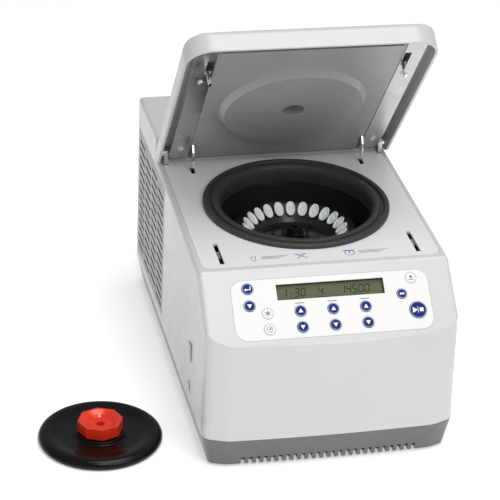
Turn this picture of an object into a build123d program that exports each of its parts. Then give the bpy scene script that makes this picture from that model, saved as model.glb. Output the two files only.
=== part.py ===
from build123d import *
import math
import os

os.makedirs("parts", exist_ok=True)

# ---------------------------------------------------------------- driving dimensions (mm)
# Frame: X right, Y to the back, Z up, origin on the bench under the middle of the case.
HALF_W = 145.0
FRONT_Y = -240.0
BACK_Y = 240.0
CASE_TOP = 260.0
DRAFT_DEG = 0.5
WALL = 3.0
FIT_GAP = 0.3
TOUCH = 0.05

PAN_Z = 3.5
SEAM_Z = 38.0
PAN_FLOOR = 2.5
CREASE_X = 119.0
CREASE_BACK = 3.0
CORNER_BACK = 13.0
CORNER_R = 16.0
MIN_CORNER_R = 3.0
CREASE_R = 40.0
BROW_R = 6.0
BREAK_R = 9.0
TOP_EDGE_R = 5.0
TOP_EDGE_X = 143.2

DECK_FRONT_Y = -172.0
DECK_FRONT_Z = 217.0
DECK_SLOPE = 3.0
DECK_BACK_Y = 112.0
PANEL_FOOT_Z = 153.0
DECK_THICK = 3.0
DECK_HALF_W = 136.5

ROTOR_Y = -28.0
MOUTH_R = 93.4
BOWL_R = 94.0
BOWL_FLOOR_Z = 140.0
BOWL_WALL = 1.5

PIVOT_Y = 98.0
PIVOT_LIFT = 13.0
LID_HALF_T = 12.0
LID_FRONT = 277.0
LID_HALF_W = 144.5
LID_WALL = 3.0
LID_CORNER_R = 32.0
LID_OPEN = 51.7
RAIL_FACE = -7.0
RAIL_IN = 107.5
RAIL_OUT = 130.5

ROTOR_LID_X = -248.0
ROTOR_LID_Y = -148.0
ROTOR_LID_R = 71.0

FOOT_R = 14.0
FOOT_X = 112.0
FOOT_Y = 205.0
PAN_TUCK = 8.0
PAN_TAPER = 13.0
TOOTH_COUNT = 24
TOOTH_PITCH = 8.6
TOOTH_W = 4.6
TOOTH_H = 9.0

SHAFT_R = 6.0
SHAFT_HOLE_R = 12.0
BEARING_R = 17.0
BOWL_FLANGE_H = 6.0
COIL_R = 3.5
COIL_TURNS = 6
TUBE_COUNT = 24
TUBE_ANGLE = 45.0
TUBE_R = 5.0
CAP_R = 5.6
CAP_LONG = 8.6
SEAT_R = 57.5
SEAT_Z = 191.0
HUB_Z = 180.2
DISH_Z = 178.0
ROTOR_FOOT_Z = 146.0
NUT_TOP_Z = 195.5

LID_CROWN = 3.0
SIGHT_R = 13.0
SIGHT_S = 126.0
BOSS_R = 86.5
BOSS_H = 7.0
LINER_FRONT = 262.0
RAIL_FRONT = 266.0
LATCH_S0 = 214.0
LATCH_S1 = 243.0
RIVET_X = 118.0
RIVET_S = 194.0
SCREW_X = 118.5
SCREW_S = 24.0
ARM_LOW_DEG = 172.0
ARM_HIGH_DEG = 285.0
PAWL_REST = 15.0
PAWL_Y = -128.0
PAWL_DROP = 27.5
PAWL_HALF_T = 1.8
KEY_STEM = 3.5
SWITCH_PIVOT_Y = 240.6
SWITCH_TILT = 5.0
KNOB_BORE_R = 7.2
KNOB_R = 26.0
KNOB_FOOT_Z = 12.1
KNOB_TOP_Z = 26.5
KNOB_HOLE_R = 5.0
DECK_CORNER_R = 12.0


def deck_z(y):
    """Height of the deck's upper face at a depth y."""
    return DECK_FRONT_Z + (y - DECK_FRONT_Y) * math.tan(math.radians(DECK_SLOPE))


PIVOT_Z = deck_z(PIVOT_Y) + PIVOT_LIFT
PANEL_ANGLE = math.degrees(math.atan2(DECK_FRONT_Z - PANEL_FOOT_Z, DECK_FRONT_Y - FRONT_Y))
DECK = Location((0, ROTOR_Y, deck_z(ROTOR_Y)), (DECK_SLOPE, 0, 0))
PANEL = Location((0, DECK_FRONT_Y, DECK_FRONT_Z), (PANEL_ANGLE, 0, 0))
LID = Location((0, PIVOT_Y, PIVOT_Z), (DECK_SLOPE - LID_OPEN, 0, 0))

SAVED = []


def save(name, shape):
    """Write one node, as a single solid or as a group of separate solids."""
    if isinstance(shape, (list, tuple)):
        solids = [s for item in shape for s in item.solids()]
    else:
        solids = list(shape.solids())
    body = solids[0] if len(solids) == 1 else Compound(children=solids)
    export_step(body, "parts/" + name + ".step")
    SAVED.append(name)


# ---------------------------------------------------------------- small shape helpers
def block(x0, x1, y0, y1, z0, z1):
    """A box between two corners."""
    return Pos((x0 + x1) / 2, (y0 + y1) / 2, (z0 + z1) / 2) * Box(x1 - x0, y1 - y0, z1 - z0)


def rod(radius, z0, z1, x=0.0, y=0.0):
    """An upright cylinder between two heights."""
    return Pos(x, y, (z0 + z1) / 2) * Cylinder(radius, z1 - z0)


def rod_x(radius, x0, x1, y=0.0, z=0.0):
    """A cylinder along X."""
    return Pos((x0 + x1) / 2, y, z) * Rot(0, 90, 0) * Cylinder(radius, x1 - x0)


def rod_y(radius, y0, y1, x=0.0, z=0.0):
    """A cylinder along Y."""
    return Pos(x, (y0 + y1) / 2, z) * Rot(90, 0, 0) * Cylinder(radius, y1 - y0)


def turned(points):
    """A solid of revolution about Z from a closed outline of (radius, height) points."""
    wire = Polyline(*[(r, 0, h) for r, h in points], close=True)
    return revolve(make_face(wire), Axis.Z)


def side_plate(points, x0, x1):
    """A plate cut to a closed outline of (y, z) points, between two places along X."""
    wire = Polyline(*[(x0, y, z) for y, z in points], close=True)
    return extrude(make_face(wire), amount=x1 - x0, dir=(1, 0, 0))


def rounded_bar(width, depth, height, radius):
    """A box centred in plan with upright rounded corners, standing on z = 0."""
    return extrude(RectangleRounded(width, depth, radius), height)


def mirrored(shape):
    """The piece and its twin on the other side of the case."""
    return [shape, shape.mirror(Plane.YZ)]


# ---------------------------------------------------------------- case outline
def plan_face(inset):
    """Plan outline of the case, open to the back beyond BACK_Y."""
    half = HALF_W - inset
    crease_y = FRONT_Y + CREASE_BACK + inset
    corner_y = FRONT_Y + CORNER_BACK + inset * 0.6
    nose_y = FRONT_Y + inset
    rear_y = BACK_Y + 20.0
    line = Polyline((CREASE_X, crease_y), (half, corner_y), (half, rear_y), (-half, rear_y),
                    (-half, corner_y), (-CREASE_X, crease_y))
    nose = ThreePointArc((-CREASE_X, crease_y), (0, nose_y), (CREASE_X, crease_y))
    face = make_face(line.edges() + nose.edges())
    corners = [v for v in face.vertices() if v.Y < corner_y + 1.0 and abs(v.X) > half - 1.0]
    face = fillet(corners, max(CORNER_R - inset, MIN_CORNER_R))
    creases = [v for v in face.vertices() if v.Y < crease_y + 0.5]
    return fillet(creases, CREASE_R)


def side_face(inset, z_low):
    """Side outline of the case in the YZ plane, pulled in by an inset."""
    points = [(BACK_Y, z_low), (BACK_Y, CASE_TOP), (DECK_BACK_Y, CASE_TOP),
              (DECK_BACK_Y, deck_z(DECK_BACK_Y)), (DECK_FRONT_Y, DECK_FRONT_Z),
              (FRONT_Y, PANEL_FOOT_Z), (FRONT_Y, z_low)]
    wire = Polyline(*[(0, y, z) for y, z in points], close=True)
    face = make_face(wire)
    if inset:
        face = offset(face, amount=-inset, kind=Kind.INTERSECTION)
        return face
    face = fillet([v for v in face.vertices() if abs(v.Y - DECK_FRONT_Y) < 0.1], BROW_R)
    foot = [v for v in face.vertices() if abs(v.Y - FRONT_Y) < 0.1 and v.Z > z_low + 1.0]
    return fillet(foot, BREAK_R)


def case_block(inset, z_low):
    """The filled outer form of the case above a height."""
    side = extrude(side_face(inset, z_low), amount=HALF_W + 5.0, dir=(1, 0, 0), both=True)
    plan = extrude(Pos(0, 0, z_low) * plan_face(inset), CASE_TOP - z_low + 5.0, taper=DRAFT_DEG)
    return side & plan


def deck_cut(x0, x1, y0, y1, h0, h1):
    """A box square to the deck: y0 and y1 are depths, h0 and h1 heights off its face."""
    return DECK * block(x0, x1, y0 - ROTOR_Y, y1 - ROTOR_Y, h0, h1)


def deck_panel(grow, h0, h1):
    """The deck plate's outline with rounded front corners, grown by a gap, between two heights off the deck."""
    half = DECK_HALF_W + grow
    front = DECK_FRONT_Y + 6.3 - grow - ROTOR_Y
    back = DECK_BACK_Y - 2.8 + grow - ROTOR_Y
    panel = block(-half, half, front, back, h0, h1)
    corners = [e for e in panel.edges().filter_by(Axis.Z) if e.center().Y < 0]
    return DECK * fillet(corners, DECK_CORNER_R + grow)


def panel_hole(x, t, radius, h0, h1):
    """A round cutter square to the control slope, at t below its top edge."""
    return PANEL * rod(radius, h0, h1, x, -t)


# ---------------------------------------------------------------- keys and display places
# Each key: name, place across, distance down the slope, radius.
KEY_R = 6.7
SHORT_KEY_R = 6.0
START_KEY_R = 10.0
PANEL_SHIFT = 2.0
KEYS = [
    ("menu_key", -93.0, 23.0, KEY_R), ("menu_down_key", -93.0, 42.8, KEY_R),
    ("fast_cool_key", -74.0, 52.8, KEY_R), ("fan_key", -74.0, 71.2, KEY_R),
    ("time_up_key", -37.0, 52.3, KEY_R), ("time_down_key", -37.0, 70.9, KEY_R),
    ("temperature_up_key", 0.0, 52.3, KEY_R), ("temperature_down_key", 0.0, 70.9, KEY_R),
    ("speed_up_key", 37.0, 52.3, KEY_R), ("speed_down_key", 37.0, 70.9, KEY_R),
    ("open_key", 93.0, 22.6, KEY_R), ("short_run_key", 80.0, 40.7, SHORT_KEY_R),
    ("start_stop_key", 95.5, 60.7, START_KEY_R),
]
KEY_PLAY = 0.15
KEY_PROUD = 0.9
KEY_FLANGE = 1.0
DISPLAY_HALF_W = 61.0
DISPLAY_TOP = 20.0
DISPLAY_FOOT = 38.5
BEZEL_EDGE = 2.0
FOIL_DEEP = 1.2
FOIL_PROUD = 0.15
BOARD_FACE = -6.0
FOIL_HALF_W = 112.0
FOIL_LONG = 70.0
FOIL_MID = 48.0

REAR_HALF_W = 136.0
REAR_TOP = 252.0
FAN_Z = 186.0
FAN_R = 52.0
INLET_X = 92.0
SWITCH_X = 50.0
SOCKET_Z = 72.0
PLUG_Y = -139.0
PLUG_Z = 56.0
PLUG_R = 4.0

# Side vents: a plate let into each side wall.
VENT_Y0 = 44.0
VENT_Y1 = 236.0
VENT_Z0 = 50.0
VENT_Z1 = 222.0
VENT_THICK = 2.0
VENT_X = 138.5
SLOT_COLUMNS = 4
SLOT_PITCH_Z = 11.0
SLOT_H = 4.0
SLOT_LAND = 7.5

LATCH_X = 112.6
LATCH_HALF_W = 2.6
LATCH_Y0 = -157.0
LATCH_Y1 = -110.0
ARM_X = 104.6
ARM_HALF_T = 1.0
ARM_R_OUT = 31.0
ARM_R_IN = 24.0
LUG_X0 = 131.3
LUG_X1 = 136.3
PIN_R = 3.0
PIN_END = 139.9


def lug_slot(side):
    """The notch in the deck that one hinge lug stands through."""
    x0 = LUG_X0 - 0.7
    x1 = LUG_X1 + 0.2
    return deck_cut(min(side * x0, side * x1), max(side * x0, side * x1), PIVOT_Y - 7.5, PIVOT_Y + 7.5,
                    -9.0, 5.0)


def arm_slot(side):
    """The slot in the deck that one lid arm slides through."""
    x0 = side * (ARM_X - 2.6)
    x1 = side * (ARM_X + 2.6)
    return deck_cut(min(x0, x1), max(x0, x1), PIVOT_Y - ARM_R_OUT - 2.5, PIVOT_Y - 14.0, -9.0, 5.0)


def foil_block(grow, h0, h1):
    """The keypad foil's outline, grown by a gap, between two heights off the slope."""
    wide = 2 * (FOIL_HALF_W + grow)
    deep = FOIL_LONG + 2 * grow
    return PANEL * Pos(PANEL_SHIFT, -FOIL_MID, h0) * rounded_bar(wide, deep, h1 - h0, 14.0 + grow)


def display_block(grow, h0, h1):
    """The display window's outline, grown by an edge, between two heights off the slope."""
    return PANEL * block(PANEL_SHIFT - DISPLAY_HALF_W - grow, PANEL_SHIFT + DISPLAY_HALF_W + grow,
                         -DISPLAY_FOOT - grow, -DISPLAY_TOP + grow, h0, h1)


def edge_cutter(frame, y0, y1):
    """Waste to cut from the two long top edges of a sloping face, leaving them rounded."""
    x_mid = TOP_EDGE_X - TOP_EDGE_R
    waste = block(x_mid, x_mid + 20.0, y0, y1, -TOP_EDGE_R, 5.0)
    waste -= rod_y(TOP_EDGE_R, y0 - 1.0, y1 + 1.0, x_mid, -TOP_EDGE_R)
    return [frame * piece for piece in mirrored(waste)]


def edge_cutters():
    """The waste along the deck, the control slope and the rear cover."""
    slope_long = math.hypot(DECK_FRONT_Y - FRONT_Y, DECK_FRONT_Z - PANEL_FOOT_Z)
    deck_waste = edge_cutter(DECK, DECK_FRONT_Y - ROTOR_Y, DECK_BACK_Y - ROTOR_Y)
    slope_waste = edge_cutter(PANEL, -slope_long, 0.0)
    rear_waste = edge_cutter(Location((0, 0, CASE_TOP)), DECK_BACK_Y - 1.0, BACK_Y + 1.0)
    return deck_waste + slope_waste + rear_waste


def make_upper_housing():
    """Front, control slope, side walls and raised rear cover, one moulded shell."""
    shell = case_block(0.0, SEAM_Z) - case_block(WALL, SEAM_Z - 2 * WALL)
    shell -= edge_cutters()
    lip = 5.5
    shell -= deck_panel(FIT_GAP, -WALL - 1.0, 4.0)
    ledge = deck_cut(-HALF_W + WALL + 1.0, HALF_W - WALL - 1.0, DECK_FRONT_Y + 2.5, DECK_BACK_Y + 1.0,
                     -DECK_THICK - 2.6, -DECK_THICK - TOUCH)
    ledge -= deck_cut(-DECK_HALF_W + lip, DECK_HALF_W - lip, DECK_FRONT_Y + 6.0 + lip, DECK_BACK_Y - 2.5 - lip,
                      -9.0, 2.0)
    shell += ledge
    for side in (-1, 1):
        shell -= lug_slot(side)
    shell -= foil_block(FIT_GAP, -FOIL_DEEP, 3.0)
    for name, x, t, radius in KEYS:
        shell -= panel_hole(x + PANEL_SHIFT, t, radius + KEY_PLAY + 0.1, -WALL - 2.0, 2.0)
    shell -= display_block(BEZEL_EDGE + 0.2, -WALL - 2.0, 2.0)
    for side in (-1, 1):
        x0, x1 = sorted((side * VENT_X, side * 150.0))
        shell -= block(x0, x1, VENT_Y0, VENT_Y1, VENT_Z0, VENT_Z1)
    shell -= block(-REAR_HALF_W, REAR_HALF_W, BACK_Y - WALL - 1.0, BACK_Y + 5.0, SEAM_Z - 2.0, REAR_TOP)
    shell -= rod_x(PLUG_R + 0.2, -150.0, -130.0, PLUG_Y, PLUG_Z)
    return shell


def make_vent_grilles():
    """Two slotted plates, flush in the side walls."""
    skin = case_block(0.05, SEAM_Z) - case_block(VENT_THICK, SEAM_Z - 2 * WALL)
    plate = skin & block(VENT_X, 150.0, VENT_Y0 + FIT_GAP, VENT_Y1 - FIT_GAP, VENT_Z0 + FIT_GAP, VENT_Z1 - FIT_GAP)
    pitch_y = (VENT_Y1 - VENT_Y0 - 10.0) / SLOT_COLUMNS
    rows = int((VENT_Z1 - VENT_Z0 - 12.0) / SLOT_PITCH_Z)
    cutters = []
    for column in range(SLOT_COLUMNS):
        y = VENT_Y0 + 5.0 + pitch_y * (column + 0.5)
        lift = SLOT_PITCH_Z / 2 if column % 2 else 0.0
        for row in range(rows):
            z = VENT_Z0 + 9.0 + lift + SLOT_PITCH_Z * row
            cutters.append(Pos(140.0, y, z) * Box(30.0, pitch_y - SLOT_LAND, SLOT_H))
    return mirrored(plate - cutters)


def make_deck_plate():
    """The flat deck round the chamber mouth, let into the housing."""
    plate = deck_panel(0.0, -DECK_THICK, 0.0)
    plate -= DECK * rod(MOUTH_R, -9.0, 5.0)
    for side in (-1, 1):
        x = side * LATCH_X
        plate -= deck_cut(x - LATCH_HALF_W, x + LATCH_HALF_W, LATCH_Y0, LATCH_Y1, -9.0, 5.0)
        plate -= arm_slot(side)
        plate -= lug_slot(side)
    return plate


def make_base_tray():
    """The grey pan that closes the case from below, with the front air slots."""
    tall = SEAM_Z - TOUCH - PAN_Z
    outer = extrude(Pos(0, 0, PAN_Z) * plan_face(PAN_TUCK), tall, taper=-PAN_TAPER)
    outer &= block(-200, 200, -300, BACK_Y, 0, 60)
    inner = extrude(Pos(0, 0, PAN_Z + PAN_FLOOR) * plan_face(PAN_TUCK + WALL), tall, taper=-PAN_TAPER)
    inner &= block(-200, 200, -300, BACK_Y - WALL, 0, 60)
    pan = outer - inner
    for x in (-FOOT_X, FOOT_X):
        for y in (-FOOT_Y, FOOT_Y):
            pan -= rod(FOOT_R, 0.0, 10.0, x, y)
    count = TOOTH_COUNT
    for i in range(count):
        x = (i - (count - 1) / 2) * TOOTH_PITCH
        pan -= block(x - TOOTH_W / 2, x + TOOTH_W / 2, -250.0, -222.0, 0.0, PAN_Z + TOOTH_H)
    return pan


def make_feet():
    """Four rubber feet pushed through the pan, each with a retaining flange inside."""
    feet = []
    for x in (-FOOT_X, FOOT_X):
        for y in (-FOOT_Y, FOOT_Y):
            stem = rod(FOOT_R, 0.0, PAN_Z + PAN_FLOOR + TOUCH, x, y)
            flange = rod(FOOT_R + 4.0, PAN_Z + PAN_FLOOR + TOUCH, PAN_Z + PAN_FLOOR + 2.5, x, y)
            feet.append(stem + flange)
    return feet


# ---------------------------------------------------------------- control slope
def make_foil():
    """The smooth keypad foil with a window and a hole for each key."""
    foil = foil_block(0.0, -FOIL_DEEP + TOUCH, FOIL_PROUD)
    foil -= display_block(0.0, -3.0, 3.0)
    for name, x, t, radius in KEYS:
        foil -= panel_hole(x + PANEL_SHIFT, t, radius + KEY_PLAY, -3.0, 3.0)
    return foil


def make_key(x, t, radius):
    """One round key with a retaining flange behind the slope."""
    cap = rod(radius, -KEY_STEM, KEY_PROUD)
    cap = fillet(cap.edges().group_by(Axis.Z)[-1], 0.5)
    flange = rod(radius + KEY_FLANGE, -KEY_STEM - 1.0, -KEY_STEM)
    return PANEL * Pos(x + PANEL_SHIFT, -t, 0) * (cap + flange)


def make_bezel():
    """The black frame that lines the display window."""
    frame = display_block(BEZEL_EDGE, -KEY_STEM - 1.0, -FOIL_DEEP - TOUCH)
    return frame - display_block(-0.2, -9.0, 3.0)


def make_display():
    """The display glass behind its frame."""
    return display_block(BEZEL_EDGE - 0.5, -KEY_STEM - 2.2, -KEY_STEM - 1.0 - TOUCH)


def make_board():
    """The printed board that carries the key contacts and the display."""
    board = PANEL * block(-118.0, 118.0, -84.0, -14.0, BOARD_FACE - 1.6, BOARD_FACE)
    parts = PANEL * block(-60.0, -20.0, -75.0, -60.0, BOARD_FACE - 7.6, BOARD_FACE - 1.6)
    chip = PANEL * block(20.0, 44.0, -70.0, -50.0, BOARD_FACE - 4.6, BOARD_FACE - 1.6)
    return board + parts + chip


# ---------------------------------------------------------------- chamber
def make_gasket():
    """The black rubber ring that seals the chamber mouth against the closed lid."""
    outline = [(109.5, TOUCH), (109.5, 4.4), (108.3, 5.5), (103.4, 5.5), (101.9, 3.2), (98.9, 3.2),
               (97.2, 5.5), (93.0, 5.5), (90.0, 3.0), (88.8, -2.0), (89.2, -16.5), (91.6, -16.5), (92.9, -6.0),
               (92.9, TOUCH)]
    return DECK * turned(outline)


def make_bowl():
    """The metal rotor chamber, hung below the deck."""
    r = BOWL_R
    top = 245.0
    curve = 14.0
    floor = BOWL_FLOOR_Z
    steps = 5
    inner = [(r, top), (r, floor + curve)]
    for i in range(1, steps + 1):
        a = math.radians(90.0 * i / steps)
        inner.append((r - curve + curve * math.cos(a), floor + curve - curve * math.sin(a)))
    outer = [(r + BOWL_WALL, top), (r + BOWL_WALL, floor + curve - BOWL_WALL)]
    for i in range(1, steps + 1):
        a = math.radians(90.0 * i / steps)
        outer.append((r - curve + (curve + BOWL_WALL) * math.cos(a),
                      floor + curve - BOWL_WALL - curve * math.sin(a)))
    outline = inner + [(SHAFT_HOLE_R, floor), (SHAFT_HOLE_R, outer[-1][1])] + list(reversed(outer))
    shell = Pos(0, ROTOR_Y, 0) * turned(outline)
    lid_plane = DECK * block(-130.0, 130.0, -130.0, 130.0, -BOWL_FLANGE_H - 1.5, 60.0)
    shell -= lid_plane
    flange = DECK * rod(BOWL_R + 9.0, -BOWL_FLANGE_H - 1.5, -BOWL_FLANGE_H)
    flange -= Pos(0, ROTOR_Y, 0) * rod(BOWL_R, 100.0, 300.0)
    return shell + flange


def make_insulation():
    """The foam jacket round the cooled chamber."""
    seat = BOWL_FLOOR_Z - BOWL_WALL - FIT_GAP
    ring = rod(118.0, seat - 1.0, 206.0, 0, ROTOR_Y) - rod(106.0, 100.0, 220.0, 0, ROTOR_Y)
    disc = rod(118.0, seat - 10.0, seat, 0, ROTOR_Y)
    base = disc - rod(64.0, 100.0, 220.0, 0, ROTOR_Y)
    return ring + base


def make_coil():
    """The cooling tube, turn over turn round the chamber wall."""
    turns = []
    for i in range(COIL_TURNS):
        z = BOWL_FLOOR_Z + 16.0 + i * 8.0
        turns.append(Pos(0, ROTOR_Y, z) * Torus(BOWL_R + BOWL_WALL + COIL_R + 0.3, COIL_R))
    return turns


# ---------------------------------------------------------------- drive
def make_motor_housing():
    """The motor can on its mounting plate, with a bearing seat at each end."""
    can = rod(54.0, 28.0, 126.0) - rod(50.0, 32.0, 122.0)
    can -= rod(BEARING_R, 20.0, 130.0)
    plate = block(-62.0, 62.0, -62.0, 62.0, 24.0, 28.0) - rod(BEARING_R, 20.0, 30.0)
    return Pos(0, ROTOR_Y, 0) * (can + plate)


def make_stator():
    """The wound stator ring inside the motor can."""
    return Pos(0, ROTOR_Y, 0) * (rod(49.9, 44.0, 108.0) - rod(31.0, 40.0, 112.0))


def make_bearings():
    """The upper and lower shaft bearings."""
    ring = rod(BEARING_R - TOUCH, 0.0, 10.0) - rod(SHAFT_R + 0.05, -1.0, 11.0)
    return [Pos(0, ROTOR_Y, z) * ring for z in (24.0, 116.0)]


def make_dampers():
    """Four rubber cushions under the motor plate."""
    z0 = PAN_Z + PAN_FLOOR + TOUCH
    return [rod(9.0, z0, 24.0 - TOUCH, x, ROTOR_Y + y) for x in (-50.0, 50.0) for y in (-50.0, 50.0)]


def make_shaft():
    """The vertical drive shaft with the magnet core pressed on it."""
    shaft = rod(SHAFT_R, 22.0, HUB_Z - 0.2) + rod(30.0, 46.0, 106.0)
    return Pos(0, ROTOR_Y, 0) * shaft


def tube_place(i):
    """Where tube i sits: its mouth on the cone, its axis falling outwards at the tube angle."""
    turn = 360.0 * (i + 0.5) / TUBE_COUNT
    a = math.radians(turn)
    x = SEAT_R * math.cos(a)
    y = ROTOR_Y + SEAT_R * math.sin(a)
    return Location((x, y, SEAT_Z), (0, 0, turn)) * Location((0, 0, 0), (0, 180.0 - TUBE_ANGLE, 0))


def make_rotor():
    """The fixed-angle rotor with its ring of tube bores."""
    outline = [(SHAFT_R + TOUCH, HUB_Z), (14.0, HUB_Z), (16.0, DISH_Z), (40.0, DISH_Z), (46.0, DISH_Z + 1.6),
               (50.8, SEAT_Z - 6.7), (63.2, SEAT_Z + 5.7), (70.0, SEAT_Z + 5.7), (73.0, SEAT_Z + 3.0),
               (87.0, SEAT_Z - 17.0), (87.5, SEAT_Z - 31.0), (84.0, SEAT_Z - 39.0), (72.0, SEAT_Z - 39.0),
               (60.0, SEAT_Z - 33.0), (44.0, SEAT_Z - 27.0), (26.0, SEAT_Z - 24.0), (26.0, ROTOR_FOOT_Z),
               (SHAFT_R + TOUCH, ROTOR_FOOT_Z)]
    body = Pos(0, ROTOR_Y, 0) * turned(outline)
    bore = rod(TUBE_R + 0.2, -3.0, 29.0) + Pos(0, 0, 33.5) * Cone(TUBE_R + 0.2, 2.4, 9.0)
    return body - [tube_place(i) * bore for i in range(TUBE_COUNT)]


def make_tubes():
    """The sample tubes with their caps, one in each bore."""
    body = rod(TUBE_R, 0.0, 29.0) + Pos(0, 0, 33.0) * Cone(TUBE_R, 2.0, 8.0)
    cap = rod(CAP_R, -4.2, -0.4) + rod(TUBE_R, -0.4, 0.0)
    tab = block(-CAP_LONG, CAP_LONG, -2.6, 2.6, -4.2, -2.6)
    tube = body + cap + tab
    return [tube_place(i) * tube for i in range(TUBE_COUNT)]


def make_nut():
    """The round nut that holds the rotor on its shaft."""
    nut = rod(11.0, HUB_Z + TOUCH, HUB_Z + 9.0) + rod(8.5, HUB_Z + 9.0, NUT_TOP_Z)
    nut = nut - rod(4.0, HUB_Z + 3.0, NUT_TOP_Z + 1.0)
    ring = []
    for a in range(0, 360, 45):
        x = 29.0 * math.cos(math.radians(a))
        y = 29.0 * math.sin(math.radians(a))
        ring.append(rod(1.2, DISH_Z + TOUCH, DISH_Z + 1.4, x, y))
    return [Pos(0, ROTOR_Y, 0) * piece for piece in [nut] + ring]


# ---------------------------------------------------------------- lid, drawn shut about its pivot
# Lid frame: origin on the hinge axis, -Y to the front edge, Z up through the lid's thickness.
def lid_profile(shrink):
    """Side outline of the lid with its round knuckle at the back."""
    r = LID_HALF_T - shrink
    top = LID_HALF_T + LID_CROWN - shrink
    front = -LID_FRONT + shrink
    low = -LID_HALF_T if shrink == 0.0 else -LID_HALF_T - 5.0
    lines = [Line((0, 0, r), (0, -20.0, top)), Line((0, -20.0, top), (0, front + 9.0, top)),
             ThreePointArc((0, front + 9.0, top), (0, front + 2.6, top - 2.9), (0, front, top - 9.5)),
             Line((0, front, top - 9.5), (0, front, low))]
    if shrink == 0.0:
        lines += [Line((0, front, low), (0, 0, low)), ThreePointArc((0, 0, low), (0, r, 0), (0, 0, r))]
    else:
        lines += [Line((0, front, low), (0, r, low)), Line((0, r, low), (0, r, 0)),
                  ThreePointArc((0, r, 0), (0, r * math.sqrt(0.5), r * math.sqrt(0.5)), (0, 0, r))]
    return make_face(lines)


def lid_form(shrink):
    """The filled lid form, pulled in by a wall."""
    half = LID_HALF_W - shrink
    side = extrude(lid_profile(shrink), amount=half + 5.0, dir=(1, 0, 0), both=True)
    face = Pos(0, (LID_HALF_T - LID_FRONT) / 2, -30.0) * Rectangle(2 * half, LID_FRONT + LID_HALF_T - 2 * shrink)
    corners = [v for v in face.vertices() if v.Y < -100.0]
    plan = extrude(fillet(corners, LID_CORNER_R - shrink), 60.0)
    edge = LID_HALF_T - 1.5 - shrink
    top = LID_HALF_T + LID_CROWN - shrink
    left = ThreePointArc((-half, 0, edge - 7.0), (-half + 2.0, 0, edge - 2.0), (-half + 7.0, 0, edge + 0.6))
    crown = ThreePointArc((-half + 7.0, 0, edge + 0.6), (0, 0, top), (half - 7.0, 0, edge + 0.6))
    right = ThreePointArc((half - 7.0, 0, edge + 0.6), (half - 2.0, 0, edge - 2.0), (half, 0, edge - 7.0))
    sides = Polyline((half, 0, edge - 7.0), (half, 0, -30.0), (-half, 0, -30.0), (-half, 0, edge - 7.0))
    arch = make_face([left, crown, right] + sides.edges())
    loaf = extrude(arch, amount=400.0, dir=(0, 1, 0), both=True)
    return side & plan & loaf


def make_lid_shell():
    """The outer lid moulding, hollow from below."""
    shell = lid_form(0.0) - lid_form(LID_WALL)
    for side in (-1, 1):
        x0, x1 = sorted((side * (LUG_X0 - 0.9), side * (LUG_X1 + 0.6)))
        shell -= block(x0, x1, -4.0, 20.0, -20.0, 5.0)
        x0, x1 = sorted((side * PIN_END, side * (LID_HALF_W - 1.0)))
        shell += rod_x(5.0, x0, x1)
    shell -= rod(SIGHT_R, -20.0, 30.0, 0, -SIGHT_S)
    return LID * shell


def make_lid_liner():
    """The grey plate that faces the chamber, with its round boss."""
    plate = block(-RAIL_IN + 0.6, RAIL_IN - 0.6, -LINER_FRONT, 3.0, RAIL_FACE + 0.4, RAIL_FACE + 2.4)
    boss = turned([(0, RAIL_FACE + 2.4), (BOSS_R, RAIL_FACE + 2.4), (BOSS_R, RAIL_FACE + 0.4),
                   (BOSS_R - 5.0, RAIL_FACE - BOSS_H), (0, RAIL_FACE - BOSS_H)])
    hollow = turned([(0, RAIL_FACE + 3.0), (BOSS_R - 3.0, RAIL_FACE + 3.0), (BOSS_R - 7.5, RAIL_FACE - BOSS_H + 2.0),
                     (0, RAIL_FACE - BOSS_H + 2.0)])
    liner = plate + Pos(0, -SIGHT_S, 0) * boss - Pos(0, -SIGHT_S, 0) * hollow
    neck = rod(SIGHT_R + 2.0, RAIL_FACE - BOSS_H, LID_HALF_T - 4.0, 0, -SIGHT_S)
    liner = liner + neck - rod(SIGHT_R, -30.0, 30.0, 0, -SIGHT_S)
    step = block(-RAIL_IN + 4.0, RAIL_IN - 4.0, -LINER_FRONT, -LINER_FRONT + 16.0, RAIL_FACE - 0.8, RAIL_FACE + 0.4)
    liner += step
    for side in (-1, 1):
        x0, x1 = sorted((side * (ARM_X - 2.2), side * 120.0))
        liner -= block(x0, x1, -32.0, 10.0, -30.0, 5.0)
    return LID * liner


def make_lid_rails():
    """The two steel side rails, each with its latch slot and a stiffening lip."""
    rail = block(RAIL_IN, RAIL_OUT, -RAIL_FRONT, 3.0, RAIL_FACE, RAIL_FACE + 1.5)
    corner = [e for e in rail.edges().filter_by(Axis.Z) if e.center().Y > 0 and e.center().X > RAIL_IN + 1]
    rail = fillet(corner, 7.0)
    lip = block(RAIL_OUT - 1.5, RAIL_OUT, -RAIL_FRONT, -5.0, RAIL_FACE + 1.5, RAIL_FACE + 9.0)
    inner_lip = block(RAIL_IN, RAIL_IN + 1.5, -RAIL_FRONT, -34.0, RAIL_FACE + 1.5, RAIL_FACE + 9.0)
    rail = rail + lip + inner_lip
    rail -= block(LATCH_X - 4.0, LATCH_X + 4.0, -LATCH_S1, -LATCH_S0, -20.0, 20.0)
    rail -= rod(2.0, -20.0, 20.0, RIVET_X, -RIVET_S)
    rail -= rod(2.0, -20.0, 20.0, SCREW_X, -SCREW_S)
    return [LID * piece for piece in mirrored(rail)]


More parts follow.
